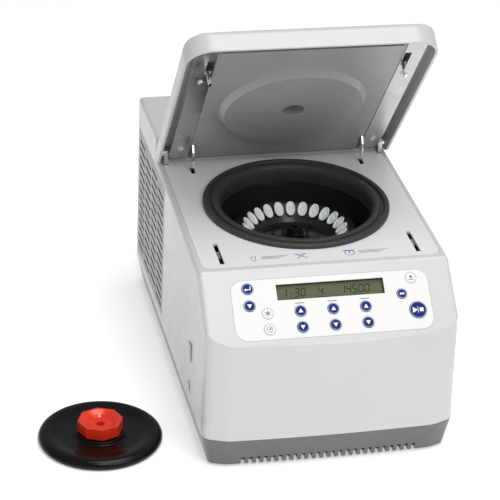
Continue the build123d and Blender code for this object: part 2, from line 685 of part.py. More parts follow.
def make_fasteners():
    """The rivet and the screw on each rail."""
    rivet = turned([(0, RAIL_FACE + 3.0), (1.9, RAIL_FACE + 3.0), (1.9, RAIL_FACE - TOUCH), (3.6, RAIL_FACE - TOUCH),
                    (3.0, RAIL_FACE - 1.4), (1.2, RAIL_FACE - 1.9), (0, RAIL_FACE - 1.9)])
    screw = turned([(0, RAIL_FACE + 6.0), (1.9, RAIL_FACE + 6.0), (1.9, RAIL_FACE - TOUCH), (3.8, RAIL_FACE - TOUCH),
                    (3.6, RAIL_FACE - 1.8), (1.5, RAIL_FACE - 1.8), (1.5, RAIL_FACE - 0.9), (0, RAIL_FACE - 0.9)])
    pieces = mirrored(Pos(RIVET_X, -RIVET_S, 0) * rivet) + mirrored(Pos(SCREW_X, -SCREW_S, 0) * screw)
    return [LID * piece for piece in pieces]


def make_strikers():
    """The steel hooks that reach down through the deck and are caught by the locks."""
    low = RAIL_FACE + 1.5
    outline = [(-LATCH_S0, low + TOUCH), (-LATCH_S0, -22.5), (-LATCH_S0 - 7.0, -22.5), (-LATCH_S0 - 7.0, -20.2),
               (-LATCH_S0 - 4.0, -19.8), (-LATCH_S0 - 4.0, low + TOUCH)]
    hook = side_plate(outline, LATCH_X - 1.5, LATCH_X + 1.5)
    foot = block(LATCH_X - 3.4, LATCH_X + 3.4, -LATCH_S0 - 4.0, -LATCH_S0 + 9.0, low + TOUCH, low + 2.0)
    return [LID * piece for piece in mirrored(hook + foot)]


def make_arms():
    """The curved steel arms between the lid and the counterbalance inside the case."""
    a0 = ARM_LOW_DEG
    a1 = ARM_HIGH_DEG
    outer_arc = [(ARM_R_OUT, a0 + (a1 - a0) * i / 12) for i in range(13)]
    inner_arc = [(ARM_R_IN, a1 - (a1 - a0) * i / 12) for i in range(13)]
    outline = [(r * math.cos(math.radians(a)), r * math.sin(math.radians(a))) for r, a in outer_arc + inner_arc]
    arm = side_plate(outline, ARM_X - ARM_HALF_T, ARM_X + ARM_HALF_T)
    tail = block(ARM_X - ARM_HALF_T, ARM_X + ARM_HALF_T, -44.0, -ARM_R_IN + 1.0, 0.6, 6.0)
    return [LID * piece for piece in mirrored(arm + tail)]


def make_hinge_pins():
    """The two pins that the lid turns on."""
    return [LID * piece for piece in mirrored(rod_x(PIN_R, RAIL_OUT + 0.2, PIN_END - TOUCH))]


def make_sight_glass():
    """The smoked disc over the viewing hole."""
    return LID * rod(SIGHT_R - 0.2, LID_HALF_T - 2.6, LID_HALF_T - 0.2, 0, -SIGHT_S)


def make_hinge_lugs():
    """The steel lugs that carry the lid's pins above the deck."""
    z_low = PIVOT_Z - 42.0
    stem = block(LUG_X0, LUG_X1, PIVOT_Y - 6.5, PIVOT_Y + 6.5, z_low, PIVOT_Z)
    lug = stem + rod_x(6.5, LUG_X0, LUG_X1, PIVOT_Y, PIVOT_Z)
    lug -= rod_x(PIN_R + 0.05, LUG_X0 - 1.0, LUG_X1 + 1.0, PIVOT_Y, PIVOT_Z)
    foot = block(LUG_X0 - 14.0, LUG_X1, PIVOT_Y - 14.0, PIVOT_Y + 6.5, z_low, z_low + 4.0)
    return mirrored(lug + foot)


def make_springs():
    """The counterbalance springs round the pins, beside each lug."""
    pieces = []
    for i in range(2):
        x = LUG_X1 + 0.8 + i * 1.25
        ring = rod_x(5.2, x - 0.6, x + 0.6, PIVOT_Y, PIVOT_Z) - rod_x(3.9, x - 1.0, x + 1.0, PIVOT_Y, PIVOT_Z)
        pieces += mirrored(ring)
    return pieces


# ---------------------------------------------------------------- locks below the deck
def lock_pivot():
    """The lock pawls' hinge axis, as a depth and a height."""
    return PAWL_Y, deck_z(PAWL_Y) - PAWL_DROP


def make_lock_units():
    """The two lock boxes under the deck slots."""
    y, z = lock_pivot()
    wall = block(LATCH_X + 7.0, LATCH_X + 17.0, y - 14.0, y + 16.0, z - 14.0, z + 10.0)
    pin = rod_x(2.5, LATCH_X - 5.0, LATCH_X + 7.0, y, z)
    return mirrored(wall + pin)


def make_pawl(side):
    """One lock pawl: a nose that turns in over the striker's toe."""
    y, z = lock_pivot()
    outline = [(-4.5, -4.5), (4.5, -4.5), (4.5, 4.0), (2.0, 21.5), (8.7, 21.5), (8.7, 24.5), (-2.5, 24.5), (-4.5, 4.0)]
    arm = side_plate(outline, -PAWL_HALF_T, PAWL_HALF_T)
    arm -= rod_x(2.55, -5.0, 5.0)
    turned_out = Rot(PAWL_REST, 0, 0) * arm
    return Pos(side * LATCH_X, y, z) * turned_out


# ---------------------------------------------------------------- inside and back
def make_compressor():
    """The sealed refrigeration compressor on its feet."""
    can = rod(46.0, 20.0, 104.0) + Pos(0, 0, 104.0) * (Sphere(46.0) & block(-50, 50, -50, 50, 0, 14.0))
    legs = [rod(7.0, PAN_Z + PAN_FLOOR + TOUCH, 20.0, x, y) for x in (-24.0, 24.0) for y in (-24.0, 24.0)]
    body = can
    for leg in legs:
        body += leg
    return Pos(-70.0, 160.0, 0) * body


def make_condenser():
    """The finned condenser in front of the fan."""
    fins = [block(-58.0, 58.0, 184.0, 204.0, z, z + 1.0) for z in range(134, 244, 6)]
    tubes = [rod(3.5, 132.0, 242.0, x, 194.0) for x in (-48.0, -24.0, 0.0, 24.0, 48.0)]
    body = tubes[0] + tubes[1:] + fins
    return body


def make_fan_shroud():
    """The square fan frame with its struts and motor hub."""
    frame = block(-58.0, 58.0, 208.0, 232.0, FAN_Z - 58.0, FAN_Z + 58.0)
    frame -= rod_y(FAN_R + 1.5, 200.0, 240.0, 0, FAN_Z)
    hub = rod_y(16.0, 208.0, 211.0, 0, FAN_Z) + rod_y(3.0, 208.0, 228.0, 0, FAN_Z)
    strut = block(-FAN_R - 3.0, FAN_R + 3.0, 208.0, 210.5, FAN_Z - 2.0, FAN_Z + 2.0)
    cross = block(-2.0, 2.0, 208.0, 210.5, FAN_Z - FAN_R - 3.0, FAN_Z + FAN_R + 3.0)
    return frame + hub + strut + cross


def make_fan_rotor():
    """The fan wheel with its pitched blades."""
    hub = rod_y(17.0, 212.5, 229.0) - rod_y(3.05, 205.0, 235.0)
    wheel = hub
    for i in range(7):
        blade = Pos(0, 220.5, 33.0) * Rot(0, 0, 32.0) * Box(20.0, 1.6, 36.0)
        wheel += Rot(0, 360.0 * i / 7, 0) * blade
    wheel &= rod_y(FAN_R - 1.0, 205.0, 235.0)
    return Pos(0, 0, FAN_Z) * (wheel - rod_y(3.05, 205.0, 235.0))


def make_power_supply():
    """The power board with its heat sink and capacitors."""
    board = block(15.0, 128.0, 100.0, 204.0, 16.0, 18.0)
    sink = block(20.0, 124.0, 104.0, 112.0, 18.0, 60.0)
    body = board + sink
    for x in (40.0, 66.0, 92.0):
        body += rod(9.0, 18.0, 52.0, x, 140.0)
    for x in (22.0, 120.0):
        for y in (106.0, 176.0):
            body += rod(4.0, PAN_Z + PAN_FLOOR + TOUCH, 16.0, x, y)
    return body + block(40.0, 100.0, 168.0, 192.0, 18.0, 44.0)


def make_rear_panel():
    """The back plate with the fan grille and the cut-outs for the inlet and switch."""
    plate = block(-REAR_HALF_W + FIT_GAP, REAR_HALF_W - FIT_GAP, BACK_Y - 2.5, BACK_Y - 0.5, SEAM_Z + 1.0,
                  REAR_TOP - FIT_GAP)
    cutters = []
    for row in range(-5, 6):
        z = FAN_Z + row * 9.0
        reach = math.sqrt(max(FAN_R ** 2 - (row * 9.0) ** 2, 0.0))
        if reach > 12.0:
            cutters.append(block(-reach, -2.5, BACK_Y - 6.0, BACK_Y + 2.0, z - 2.5, z + 2.5))
            cutters.append(block(2.5, reach, BACK_Y - 6.0, BACK_Y + 2.0, z - 2.5, z + 2.5))
    cutters.append(block(INLET_X - 14.2, INLET_X + 14.2, 230.0, 250.0, SOCKET_Z - 10.7, SOCKET_Z + 10.7))
    cutters.append(block(SWITCH_X - 11.2, SWITCH_X + 11.2, 230.0, 250.0, SOCKET_Z - 14.7, SOCKET_Z + 14.7))
    for x, z in case_screw_places():
        cutters.append(rod_y(1.8, 230.0, 250.0, x, z))
    return plate - cutters


def case_screw_places():
    """Where the rear panel's screws sit."""
    return [(x, z) for x in (-126.0, 0.0, 126.0) for z in (SEAM_Z + 10.0, REAR_TOP - 8.0)]


def make_case_screws():
    """The screws that hold the rear panel."""
    pieces = []
    for x, z in case_screw_places():
        head = rod_y(3.4, BACK_Y - 0.45, BACK_Y + 1.2, x, z) - rod_y(1.4, BACK_Y + 0.4, BACK_Y + 3.0, x, z)
        pieces.append(head + rod_y(1.7, BACK_Y - 6.0, BACK_Y - 0.45, x, z))
    return pieces


def make_inlet():
    """The mains inlet socket with its three blades."""
    body = block(INLET_X - 14.0, INLET_X + 14.0, 216.0, 239.4, SOCKET_Z - 10.5, SOCKET_Z + 10.5)
    flange = block(INLET_X - 18.0, INLET_X + 18.0, 239.55, 242.0, SOCKET_Z - 14.0, SOCKET_Z + 14.0)
    body = body + flange + block(INLET_X - 14.0, INLET_X + 14.0, 239.4, 239.55, SOCKET_Z - 10.5, SOCKET_Z + 10.5)
    body -= block(INLET_X - 12.2, INLET_X + 12.2, 225.0, 245.0, SOCKET_Z - 8.3, SOCKET_Z + 8.3)
    for x, z in ((-7.0, 3.0), (0.0, -1.0), (7.0, 3.0)):
        body += block(INLET_X + x - 1.0, INLET_X + x + 1.0, 224.0, 238.0, SOCKET_Z + z - 2.0, SOCKET_Z + z + 2.0)
    return body


def make_switch_frame():
    """The power switch's frame."""
    body = block(SWITCH_X - 11.0, SWITCH_X + 11.0, 222.0, 239.55, SOCKET_Z - 14.5, SOCKET_Z + 14.5)
    body += block(SWITCH_X - 13.0, SWITCH_X + 13.0, 239.55, 241.2, SOCKET_Z - 16.5, SOCKET_Z + 16.5)
    return body - block(SWITCH_X - 9.0, SWITCH_X + 9.0, 224.0, 245.0, SOCKET_Z - 12.5, SOCKET_Z + 12.5)


def make_rocker():
    """The switch's rocker, tipped to off."""
    face = side_plate([(-8.0, -11.2), (1.4, -11.2), (0.2, 0.0), (1.4, 11.2), (-8.0, 11.2)], -8.7, 8.7)
    return Pos(SWITCH_X, SWITCH_PIVOT_Y, SOCKET_Z) * Rot(SWITCH_TILT, 0, 0) * face


def make_side_fittings():
    """The release cover and the small plug on the left wall."""
    cover = block(-HALF_W - 1.6, -HALF_W + 0.0, -150.0, -138.0, 92.0, 114.0)
    plug = rod_x(PLUG_R, -HALF_W - 0.6, -HALF_W + 6.0, PLUG_Y, PLUG_Z)
    return [cover, plug + rod_x(PLUG_R + 1.6, -HALF_W - 1.2, -HALF_W - 0.05, PLUG_Y, PLUG_Z)]


# ---------------------------------------------------------------- rotor lid lying on the bench
def make_rotor_lid():
    """The black rotor lid: a fat rim round a dished top."""
    outline = [(KNOB_BORE_R, 1.5), (24.0, 1.5), (26.0, 4.0), (56.0, 4.0), (58.0, 0.0), (66.0, 0.0), (69.5, 1.2),
               (ROTOR_LID_R, 4.5), (ROTOR_LID_R, 6.5), (69.6, 9.6), (66.0, 11.8), (61.0, 12.2), (56.0, 11.0),
               (50.0, 9.2), (30.0, 8.6), (29.0, 12.0), (KNOB_BORE_R, 12.0)]
    return Pos(ROTOR_LID_X, ROTOR_LID_Y, 0) * turned(outline)


def make_rotor_lid_knob():
    """The red eight-sided knob with a dished top that locks the rotor lid."""
    collar = rod(KNOB_R - 6.0, KNOB_FOOT_Z, KNOB_FOOT_Z + 1.2)
    grip = extrude(Pos(0, 0, KNOB_FOOT_Z + 1.2) * RegularPolygon(KNOB_R, 8), KNOB_TOP_Z - KNOB_FOOT_Z - 1.2)
    stem = rod(KNOB_BORE_R - TOUCH, 2.0, KNOB_FOOT_Z)
    dish = turned([(0, KNOB_TOP_Z + 1.0), (KNOB_R - 4.0, KNOB_TOP_Z + 1.0), (KNOB_R - 4.0, KNOB_TOP_Z),
                   (KNOB_R - 9.0, KNOB_TOP_Z - 3.0), (KNOB_R - 12.0, KNOB_TOP_Z - 6.0), (0, KNOB_TOP_Z - 6.0)])
    knob = collar + grip + stem - dish - rod(KNOB_HOLE_R, 0.0, KNOB_TOP_Z + 1.0)
    return Pos(ROTOR_LID_X, ROTOR_LID_Y, 0) * knob


# ---------------------------------------------------------------- build everything
save("upper_housing", make_upper_housing())
save("side_vent_grilles", make_vent_grilles())
save("deck_plate", make_deck_plate())
save("base_tray", make_base_tray())
save("rubber_feet", make_feet())
save("keypad_foil", make_foil())
for key_name, key_x, key_t, key_radius in KEYS:
    save(key_name, make_key(key_x, key_t, key_radius))
save("display_bezel", make_bezel())
save("display_glass", make_display())
save("control_board", make_board())
save("chamber_gasket", make_gasket())
save("rotor_chamber", make_bowl())
save("chamber_insulation", make_insulation())
save("cooling_coil", make_coil())
save("motor_housing", make_motor_housing())
save("motor_stator", make_stator())
save("shaft_bearings", make_bearings())
save("motor_dampers", make_dampers())
save("drive_shaft", make_shaft())
save("rotor", make_rotor())
save("sample_tubes", make_tubes())
save("rotor_nut", make_nut())
save("lid_shell", make_lid_shell())
save("lid_liner", make_lid_liner())
save("lid_rails", make_lid_rails())
save("rail_fasteners", make_fasteners())
save("lid_strikers", make_strikers())
save("lid_arms", make_arms())
save("hinge_pins", make_hinge_pins())
save("sight_glass", make_sight_glass())
save("hinge_lugs", make_hinge_lugs())
save("hinge_springs", make_springs())
save("lock_units", make_lock_units())
save("left_lock_pawl", make_pawl(-1))
save("right_lock_pawl", make_pawl(1))
save("compressor", make_compressor())
save("condenser", make_condenser())
save("fan_shroud", make_fan_shroud())
save("fan_wheel", make_fan_rotor())
save("power_supply", make_power_supply())
save("rear_panel", make_rear_panel())
save("case_screws", make_case_screws())
save("mains_inlet", make_inlet())
save("switch_frame", make_switch_frame())
save("power_rocker", make_rocker())
save("side_fittings", make_side_fittings())
save("rotor_lid", make_rotor_lid())
save("rotor_lid_knob", make_rotor_lid_knob())
print(len(SAVED), "nodes")
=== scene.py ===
import logging
import math
from dataclasses import dataclass
from enum import Enum
from typing import Optional, Sequence

import bmesh
import bpy
import numpy as np
from mathutils import Matrix, Vector


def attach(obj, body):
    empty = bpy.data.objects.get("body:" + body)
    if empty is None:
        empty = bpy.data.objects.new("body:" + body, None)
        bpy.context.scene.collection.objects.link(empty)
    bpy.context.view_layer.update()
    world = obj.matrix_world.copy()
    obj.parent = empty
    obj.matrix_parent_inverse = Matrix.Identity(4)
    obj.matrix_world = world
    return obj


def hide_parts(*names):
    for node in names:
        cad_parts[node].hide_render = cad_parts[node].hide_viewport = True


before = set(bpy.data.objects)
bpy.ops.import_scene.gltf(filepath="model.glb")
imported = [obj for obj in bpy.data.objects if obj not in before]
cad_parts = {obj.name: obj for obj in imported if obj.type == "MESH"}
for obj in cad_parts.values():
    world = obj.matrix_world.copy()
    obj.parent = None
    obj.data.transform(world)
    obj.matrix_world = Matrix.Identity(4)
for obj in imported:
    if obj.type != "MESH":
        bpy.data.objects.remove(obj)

Array = np.ndarray
Colour = tuple[float, float, float]
MM = 0.001
LOG = logging.getLogger("microcentrifuge")


# ---------------------------------------------------------------- places shared by the pieces
class Place:
    """The tilted planes of the case, as 4x4 matrices whose input is in millimetres."""

    DECK_SLOPE = math.radians(3.0)
    PANEL_SLOPE = math.atan2(217.0 - 153.0, 240.0 - 172.0)
    ROTOR_Y = -28.0
    PANEL_SHIFT = 2.0

    @staticmethod
    def tilted(x: float, y: float, z: float, tilt: float) -> Array:
        """A plane turned about X by tilt radians, with its origin at x, y, z."""
        c, s = math.cos(tilt), math.sin(tilt)
        return np.array([[1, 0, 0, x], [0, c, -s, y], [0, s, c, z], [0, 0, 0, 1]], float)

    @staticmethod
    def slid(x: float, y: float) -> Array:
        """A slide by x, y within a plane."""
        return np.array([[1, 0, 0, x], [0, 1, 0, y], [0, 0, 1, 0], [0, 0, 0, 1]], float)

    @classmethod
    def deck_height(cls, y: float) -> float:
        """The height of the deck's upper face at a depth y."""
        return 217.0 + (y + 172.0) * math.tan(cls.DECK_SLOPE)

    @classmethod
    def deck(cls) -> Array:
        """The deck's face, with its origin over the rotor's axis."""
        return cls.tilted(0.0, cls.ROTOR_Y, cls.deck_height(cls.ROTOR_Y), cls.DECK_SLOPE)

    @classmethod
    def panel(cls) -> Array:
        """The control slope, with its origin at the middle of its upper edge."""
        return cls.tilted(0.0, -172.0, 217.0, cls.PANEL_SLOPE)


# ---------------------------------------------------------------- shapes as whole arrays
class Shape:
    """Grid surfaces, profiles and copies, each worked out without a loop over vertices."""

    @staticmethod
    def rounded(
        corners: Sequence[Sequence[float]], radius: float, steps: int = 4, closed: bool = True
    ) -> Array:
        """Rounds each corner of an outline.

        At a corner P the curve is the quadratic (1-t)^2 P1 + 2t(1-t) P + t^2 P2, where P1 and P2 lie on the
        corner's two sides at the radius, or at 0.45 of a shorter side.

        Args:
            corners: the outline's corners, one (u, v) pair each.
            radius: how far from the corner the curve starts.
            steps: the number of points on each curve.
            closed: whether the last corner joins the first.

        Returns:
            The outline's points, one row each.
        """
        points = np.asarray(corners, float)
        before = np.roll(points, 1, axis=0) - points
        after = np.roll(points, -1, axis=0) - points
        long_before = np.linalg.norm(before, axis=1, keepdims=True)
        long_after = np.linalg.norm(after, axis=1, keepdims=True)
        start = points + before / long_before * np.minimum(radius, 0.45 * long_before)
        end = points + after / long_after * np.minimum(radius, 0.45 * long_after)
        if not closed:
            start[0] = end[0] = points[0]
            start[-1] = end[-1] = points[-1]
        t = np.linspace(0.0, 1.0, steps)[None, :, None]
        curve = (1 - t) ** 2 * start[:, None] + 2 * t * (1 - t) * points[:, None] + t**2 * end[:, None]
        return curve.reshape(-1, 2)

    @staticmethod
    def quads(rows: int, columns: int, wrap_rows: bool, wrap_columns: bool) -> Array:
        """Four-sided faces over a grid, wrapped on request: face (i, j) starts at point (i, j)."""
        i = np.arange(rows if wrap_rows else rows - 1)[:, None]
        j = np.arange(columns if wrap_columns else columns - 1)[None, :]
        i1, j1 = (i + 1) % rows, (j + 1) % columns
        corners = [i * columns + j, i * columns + j1, i1 * columns + j1, i1 * columns + j]
        return np.stack([np.broadcast_to(c, (i.shape[0], j.shape[1])) for c in corners], -1).reshape(-1, 4)

    @classmethod
    def lathe(
        cls, profile: Array, segments: int, closed: bool = True, ripple: Optional[Array] = None
    ) -> tuple[Array, Array]:
        """A surface of revolution about Z: point (i, j) is (r_i cos a_j, r_i sin a_j, z_i).

        Args:
            profile: (radius, height) rows.
            segments: the number of steps round the axis.
            closed: whether the profile is a closed loop.
            ripple: a factor on the radius for each step round, for a faceted or fluted form.

        Returns:
            The points and the faces.
        """
        angle = np.linspace(0.0, 2 * math.pi, segments, endpoint=False)
        factor = np.ones(segments) if ripple is None else ripple
        x = profile[:, :1] * (np.cos(angle) * factor)[None]
        y = profile[:, :1] * (np.sin(angle) * factor)[None]
        z = np.broadcast_to(profile[:, 1:2], x.shape)
        return np.stack([x, y, z], -1).reshape(-1, 3), cls.quads(len(profile), segments, closed, True)

    @classmethod
    def puck(cls, outline: Array, levels: Sequence[tuple[float, float]]) -> tuple[Array, Array]:
        """A low solid over an outline: ring k is the outline scaled by s_k, at height h_k."""
        middle = outline.mean(0)
        levels_array = np.asarray(levels, float)
        flat = middle + (outline - middle)[None] * levels_array[:, :1, None]
        high = np.broadcast_to(levels_array[:, 1, None, None], flat.shape[:2] + (1,))
        points = np.concatenate([flat, high], -1).reshape(-1, 3)
        return points, cls.quads(len(levels), len(outline), False, True)

    @classmethod
    def printed(cls, outline: Array, low: float, high: float) -> tuple[Array, Array]:
        """A thin closed print over an outline, between two heights."""
        return cls.puck(outline, [(0.0, low), (1.0, low), (1.0, high), (0.0, high)])

    @classmethod
    def ring(
        cls, inner: float, outer: float, low: float, high: float, segments: int = 48
    ) -> tuple[Array, Array]:
        """A flat ring: a rectangle carried round Z."""
        profile = np.array([[inner, low], [outer, low], [outer, high], [inner, high]])
        return cls.lathe(profile, segments)

    @staticmethod
    def bar(u0: float, v0: float, u1: float, v1: float, width: float, ends: int = 6) -> Array:
        """The outline of a stroke from (u0, v0) to (u1, v1): two half circles of the stroke's half width."""
        turn = math.atan2(v1 - v0, u1 - u0)
        a = np.linspace(-math.pi / 2, math.pi / 2, ends)
        head = np.stack([u1 + np.cos(a + turn) * width / 2, v1 + np.sin(a + turn) * width / 2], -1)
        tail = np.stack([u0 - np.cos(a + turn) * width / 2, v0 - np.sin(a + turn) * width / 2], -1)
        return np.concatenate([head, tail])

    @staticmethod
    def regular(radius: float, sides: int, turn: float = 0.0, u: float = 0.0, v: float = 0.0) -> Array:
        """A regular outline: corner k lies at turn + 2 pi k / sides."""
        a = turn + np.linspace(0.0, 2 * math.pi, sides, endpoint=False)
        return np.stack([u + radius * np.cos(a), v + radius * np.sin(a)], -1)

    @staticmethod
    def joined(parts: Sequence[tuple[Array, Array]]) -> tuple[Array, Array]:
        """Several meshes as one: each one's faces are counted on from the points before it."""
        counts = np.cumsum([0] + [len(p) for p, _ in parts])[:-1]
        points = np.concatenate([p for p, _ in parts])
        return points, np.concatenate([f + n for (_, f), n in zip(parts, counts)])

    @staticmethod
    def moved(mesh: tuple[Array, Array], matrix: Array) -> tuple[Array, Array]:
        """The mesh with each point p taken to R p + t."""
        points, faces = mesh
        return points @ matrix[:3, :3].T + matrix[:3, 3], faces

    @staticmethod
    def copies(mesh: tuple[Array, Array], matrices: Array) -> tuple[Array, Array]:
        """One mesh of many copies: copy m of point p is R_m p + t_m.

        Args:
            mesh: the pattern's points and faces.
            matrices: one 4x4 matrix a copy.

        Returns:
            The points and the faces of all the copies.
        """
        points, faces = mesh
        spread = np.einsum("mij,nj->mni", matrices[:, :3, :3], points) + matrices[:, None, :3, 3]
        offsets = (np.arange(len(matrices)) * len(points))[:, None, None]
        return spread.reshape(-1, 3), (faces[None] + offsets).reshape(-1, faces.shape[1])


# ---------------------------------------------------------------- finishes
class Grain(Enum):
    """The direction that a finish's fine texture runs in."""

    MOULDED = "moulded"
    BRUSHED_X = "brushed_x"
    BRUSHED_LENGTH = "brushed_length"
    TURNED = "turned"


@dataclass(frozen=True)
class Finish:
    """One surface finish, worked out from noise on Object coordinates."""

    name: str
    colour: Colour
    rough: float
    metal: float = 0.0
    coat: float = 0.0
    specular: float = 0.5
    see_through: float = 0.0
    soft_inside: float = 0.0
    grain: Grain = Grain.MOULDED
    grain_scale: float = 2400.0
    grain_depth: float = 0.00002
    grain_strength: float = 0.15
    wave_scale: float = 22.0
    wave_strength: float = 0.0
    rough_spread: float = 0.07
    tone_spread: float = 0.05
    scuff: float = 0.25
    centre: tuple[float, float] = (0.0, 0.0)

    def coordinates(self, tree: bpy.types.NodeTree) -> bpy.types.NodeSocket:
        """Where the fine grain is read: stretched along the brushing, or the radius on turned work."""
        place = tree.nodes.new("ShaderNodeTexCoord").outputs["Object"]
        mapping = tree.nodes.new("ShaderNodeMapping")
        tree.links.new(place, mapping.inputs["Vector"])
        if self.grain is Grain.BRUSHED_X:
            mapping.inputs["Scale"].default_value = (0.02, 1.0, 1.0)
        elif self.grain is Grain.BRUSHED_LENGTH:
            mapping.inputs["Scale"].default_value = (1.0, 0.02, 0.02)
        elif self.grain is Grain.TURNED:
            mapping.inputs["Location"].default_value = (-self.centre[0], -self.centre[1], 0.0)
            split = tree.nodes.new("ShaderNodeSeparateXYZ")
            tree.links.new(mapping.outputs["Vector"], split.inputs[0])
            flat = tree.nodes.new("ShaderNodeCombineXYZ")
            tree.links.new(split.outputs["X"], flat.inputs["X"])
            tree.links.new(split.outputs["Y"], flat.inputs["Y"])
            length = tree.nodes.new("ShaderNodeVectorMath")
            length.operation = "LENGTH"
            tree.links.new(flat.outputs[0], length.inputs[0])
            radial = tree.nodes.new("ShaderNodeCombineXYZ")
            tree.links.new(length.outputs["Value"], radial.inputs["X"])
            tree.links.new(split.outputs["Z"], radial.inputs["Z"])
            return radial.outputs[0]
        return mapping.outputs["Vector"]

    def noise(
        self, tree: bpy.types.NodeTree, place: bpy.types.NodeSocket, scale: float, detail: float
    ) -> bpy.types.NodeSocket:
        """A noise value at a place."""
        node = tree.nodes.new("ShaderNodeTexNoise")
        node.inputs["Scale"].default_value = scale
        node.inputs["Detail"].default_value = detail
        tree.links.new(place, node.inputs["Vector"])
        return node.outputs["Fac"]

    def spread(
        self, tree: bpy.types.NodeTree, value: bpy.types.NodeSocket, low: float, high: float
    ) -> bpy.types.NodeSocket:
        """A noise value carried from 0.3..0.7 to low..high."""
        node = tree.nodes.new("ShaderNodeMapRange")
        node.inputs["From Min"].default_value = 0.3
        node.inputs["From Max"].default_value = 0.7
        node.inputs["To Min"].default_value = low
        node.inputs["To Max"].default_value = high
        tree.links.new(value, node.inputs["Value"])
        return node.outputs["Result"]

    def material(self) -> bpy.types.Material:
        """The finish as a node material, made once and shared after that.

        Returns:
            The material of this finish's name.
        """
        known = bpy.data.materials.get(self.name)
        if known:
            return known
        made = bpy.data.materials.new(self.name)
        made.use_nodes = True
        tree = made.node_tree
        shader = tree.nodes["Principled BSDF"]
        place = tree.nodes.new("ShaderNodeTexCoord").outputs["Object"]
        broad = self.noise(tree, place, 9.0, 3.0)
        patch = self.noise(tree, place, 60.0, 5.0)
        fine = self.noise(tree, self.coordinates(tree), self.grain_scale, 2.0)
        ramp = tree.nodes.new("ShaderNodeValToRGB")
        ramp.color_ramp.elements[0].position = 0.3
        ramp.color_ramp.elements[1].position = 0.7
        ramp.color_ramp.elements[0].color = (*[c * (1 - self.tone_spread) for c in self.colour], 1)
        ramp.color_ramp.elements[1].color = (*[min(1.0, c * (1 + self.tone_spread)) for c in self.colour], 1)
        tree.links.new(broad, ramp.inputs["Fac"])
        tree.links.new(ramp.outputs["Color"], shader.inputs["Base Color"])
        base = self.spread(tree, patch, self.rough - self.rough_spread, self.rough + self.rough_spread)
        scuffs = tree.nodes.new("ShaderNodeMath")
        scuffs.operation = "MULTIPLY_ADD"
        scuffs.use_clamp = True
        thin = self.spread(tree, self.noise(tree, place, 210.0, 8.0), 0.0, self.scuff * 0.3)
        scuffs.inputs[1].default_value = 0.5
        tree.links.new(thin, scuffs.inputs[0])
        tree.links.new(base, scuffs.inputs[2])
        tree.links.new(scuffs.outputs[0], shader.inputs["Roughness"])
        bump = tree.nodes.new("ShaderNodeBump")
        bump.inputs["Strength"].default_value = self.grain_strength
        bump.inputs["Distance"].default_value = self.grain_depth
        tree.links.new(fine, bump.inputs["Height"])
        if self.wave_strength:
            swell = tree.nodes.new("ShaderNodeBump")
            swell.inputs["Strength"].default_value = self.wave_strength
            swell.inputs["Distance"].default_value = 0.0006
            tree.links.new(self.noise(tree, place, self.wave_scale, 1.0), swell.inputs["Height"])
            tree.links.new(swell.outputs["Normal"], bump.inputs["Normal"])
        tree.links.new(bump.outputs["Normal"], shader.inputs["Normal"])
        shader.inputs["Metallic"].default_value = self.metal
        shader.inputs["Coat Weight"].default_value = self.coat
        shader.inputs["Coat Roughness"].default_value = 0.12
        shader.inputs["Specular IOR Level"].default_value = self.specular
        shader.inputs["Transmission Weight"].default_value = self.see_through
        shader.inputs["Subsurface Weight"].default_value = self.soft_inside
        shader.inputs["Subsurface Scale"].default_value = 0.004
        return made


CASE = Finish("case_moulding", (0.60, 0.60, 0.60), 0.36, coat=0.25, grain_scale=2600,
              grain_strength=0.10, tone_spread=0.012)
# painted shade: the lid is moulded in the same white as the case, but its colour is set darker than the
# case's so that its upward edges read less bright under the lights
LID_SHADED = Finish("lid_moulding_shaded", (0.54, 0.54, 0.54), 0.34, coat=0.25, grain_scale=2600, grain_strength=0.10,
             tone_spread=0.012)
# partly painted light: the deck's own white is close to the case's, but its colour is set well above the
# case's so that the upward face reads lighter, as it does under the light from above
DECK_LIT = Finish("deck_moulding_lit", (0.76, 0.76, 0.76), 0.38, coat=0.2, grain_scale=2200,
              grain_strength=0.14, tone_spread=0.015)
BASE = Finish("base_moulding", (0.115, 0.115, 0.115), 0.34, coat=0.3, grain_scale=1800, grain_strength=0.18)
# painted shade: the vent panel is a grey-white painted sheet, but its colour is set far darker than the
# case's white to stand in for the shade over the rear of the side walls; the vent louvres share this colour
VENT_SHADED = Finish("vent_sheet_painted_shade", (0.34, 0.34, 0.343), 0.42, grain_scale=1500, grain_strength=0.22,
              tone_spread=0.015)
FOIL = Finish("keypad_foil_film", (0.78, 0.78, 0.772), 0.33, grain_scale=3600, grain_strength=0.30,
              tone_spread=0.008)
KEY_BLUE = Finish("key_blue_print", (0.006, 0.022, 0.17), 0.5, specular=0.12, grain_scale=3200,
                  tone_spread=0.04)
KEY_WHITE = Finish("key_white_print", (0.80, 0.81, 0.83), 0.33, coat=0.3, grain_scale=3200, tone_spread=0.01)
INK_WHITE = Finish("white_ink", (0.90, 0.91, 0.93), 0.45, grain_scale=5000, tone_spread=0.01)
INK_GREY = Finish("grey_ink", (0.09, 0.10, 0.14), 0.45, grain_scale=5000, tone_spread=0.03)
INK_BLUE = Finish("blue_ink", (0.03, 0.06, 0.28), 0.45, grain_scale=5000, tone_spread=0.03)
BEZEL = Finish("bezel_moulding", (0.012, 0.012, 0.013), 0.45, grain_scale=2500, grain_strength=0.2)
DISPLAY = Finish("display_film", (0.105, 0.125, 0.070), 0.45, specular=0.15, grain_scale=5200,
                 grain_strength=0.05, tone_spread=0.03)
SEGMENT = Finish("display_segment", (0.016, 0.022, 0.015), 0.5, specular=0.15, grain_scale=5200,
                 tone_spread=0.05)
BOARD = Finish("board_resin", (0.015, 0.09, 0.045), 0.4, grain_scale=900, grain_strength=0.3)
SEAL = Finish("seal_rubber", (0.034, 0.034, 0.034), 0.46, grain_scale=1400, grain_strength=0.35,
              rough_spread=0.08)
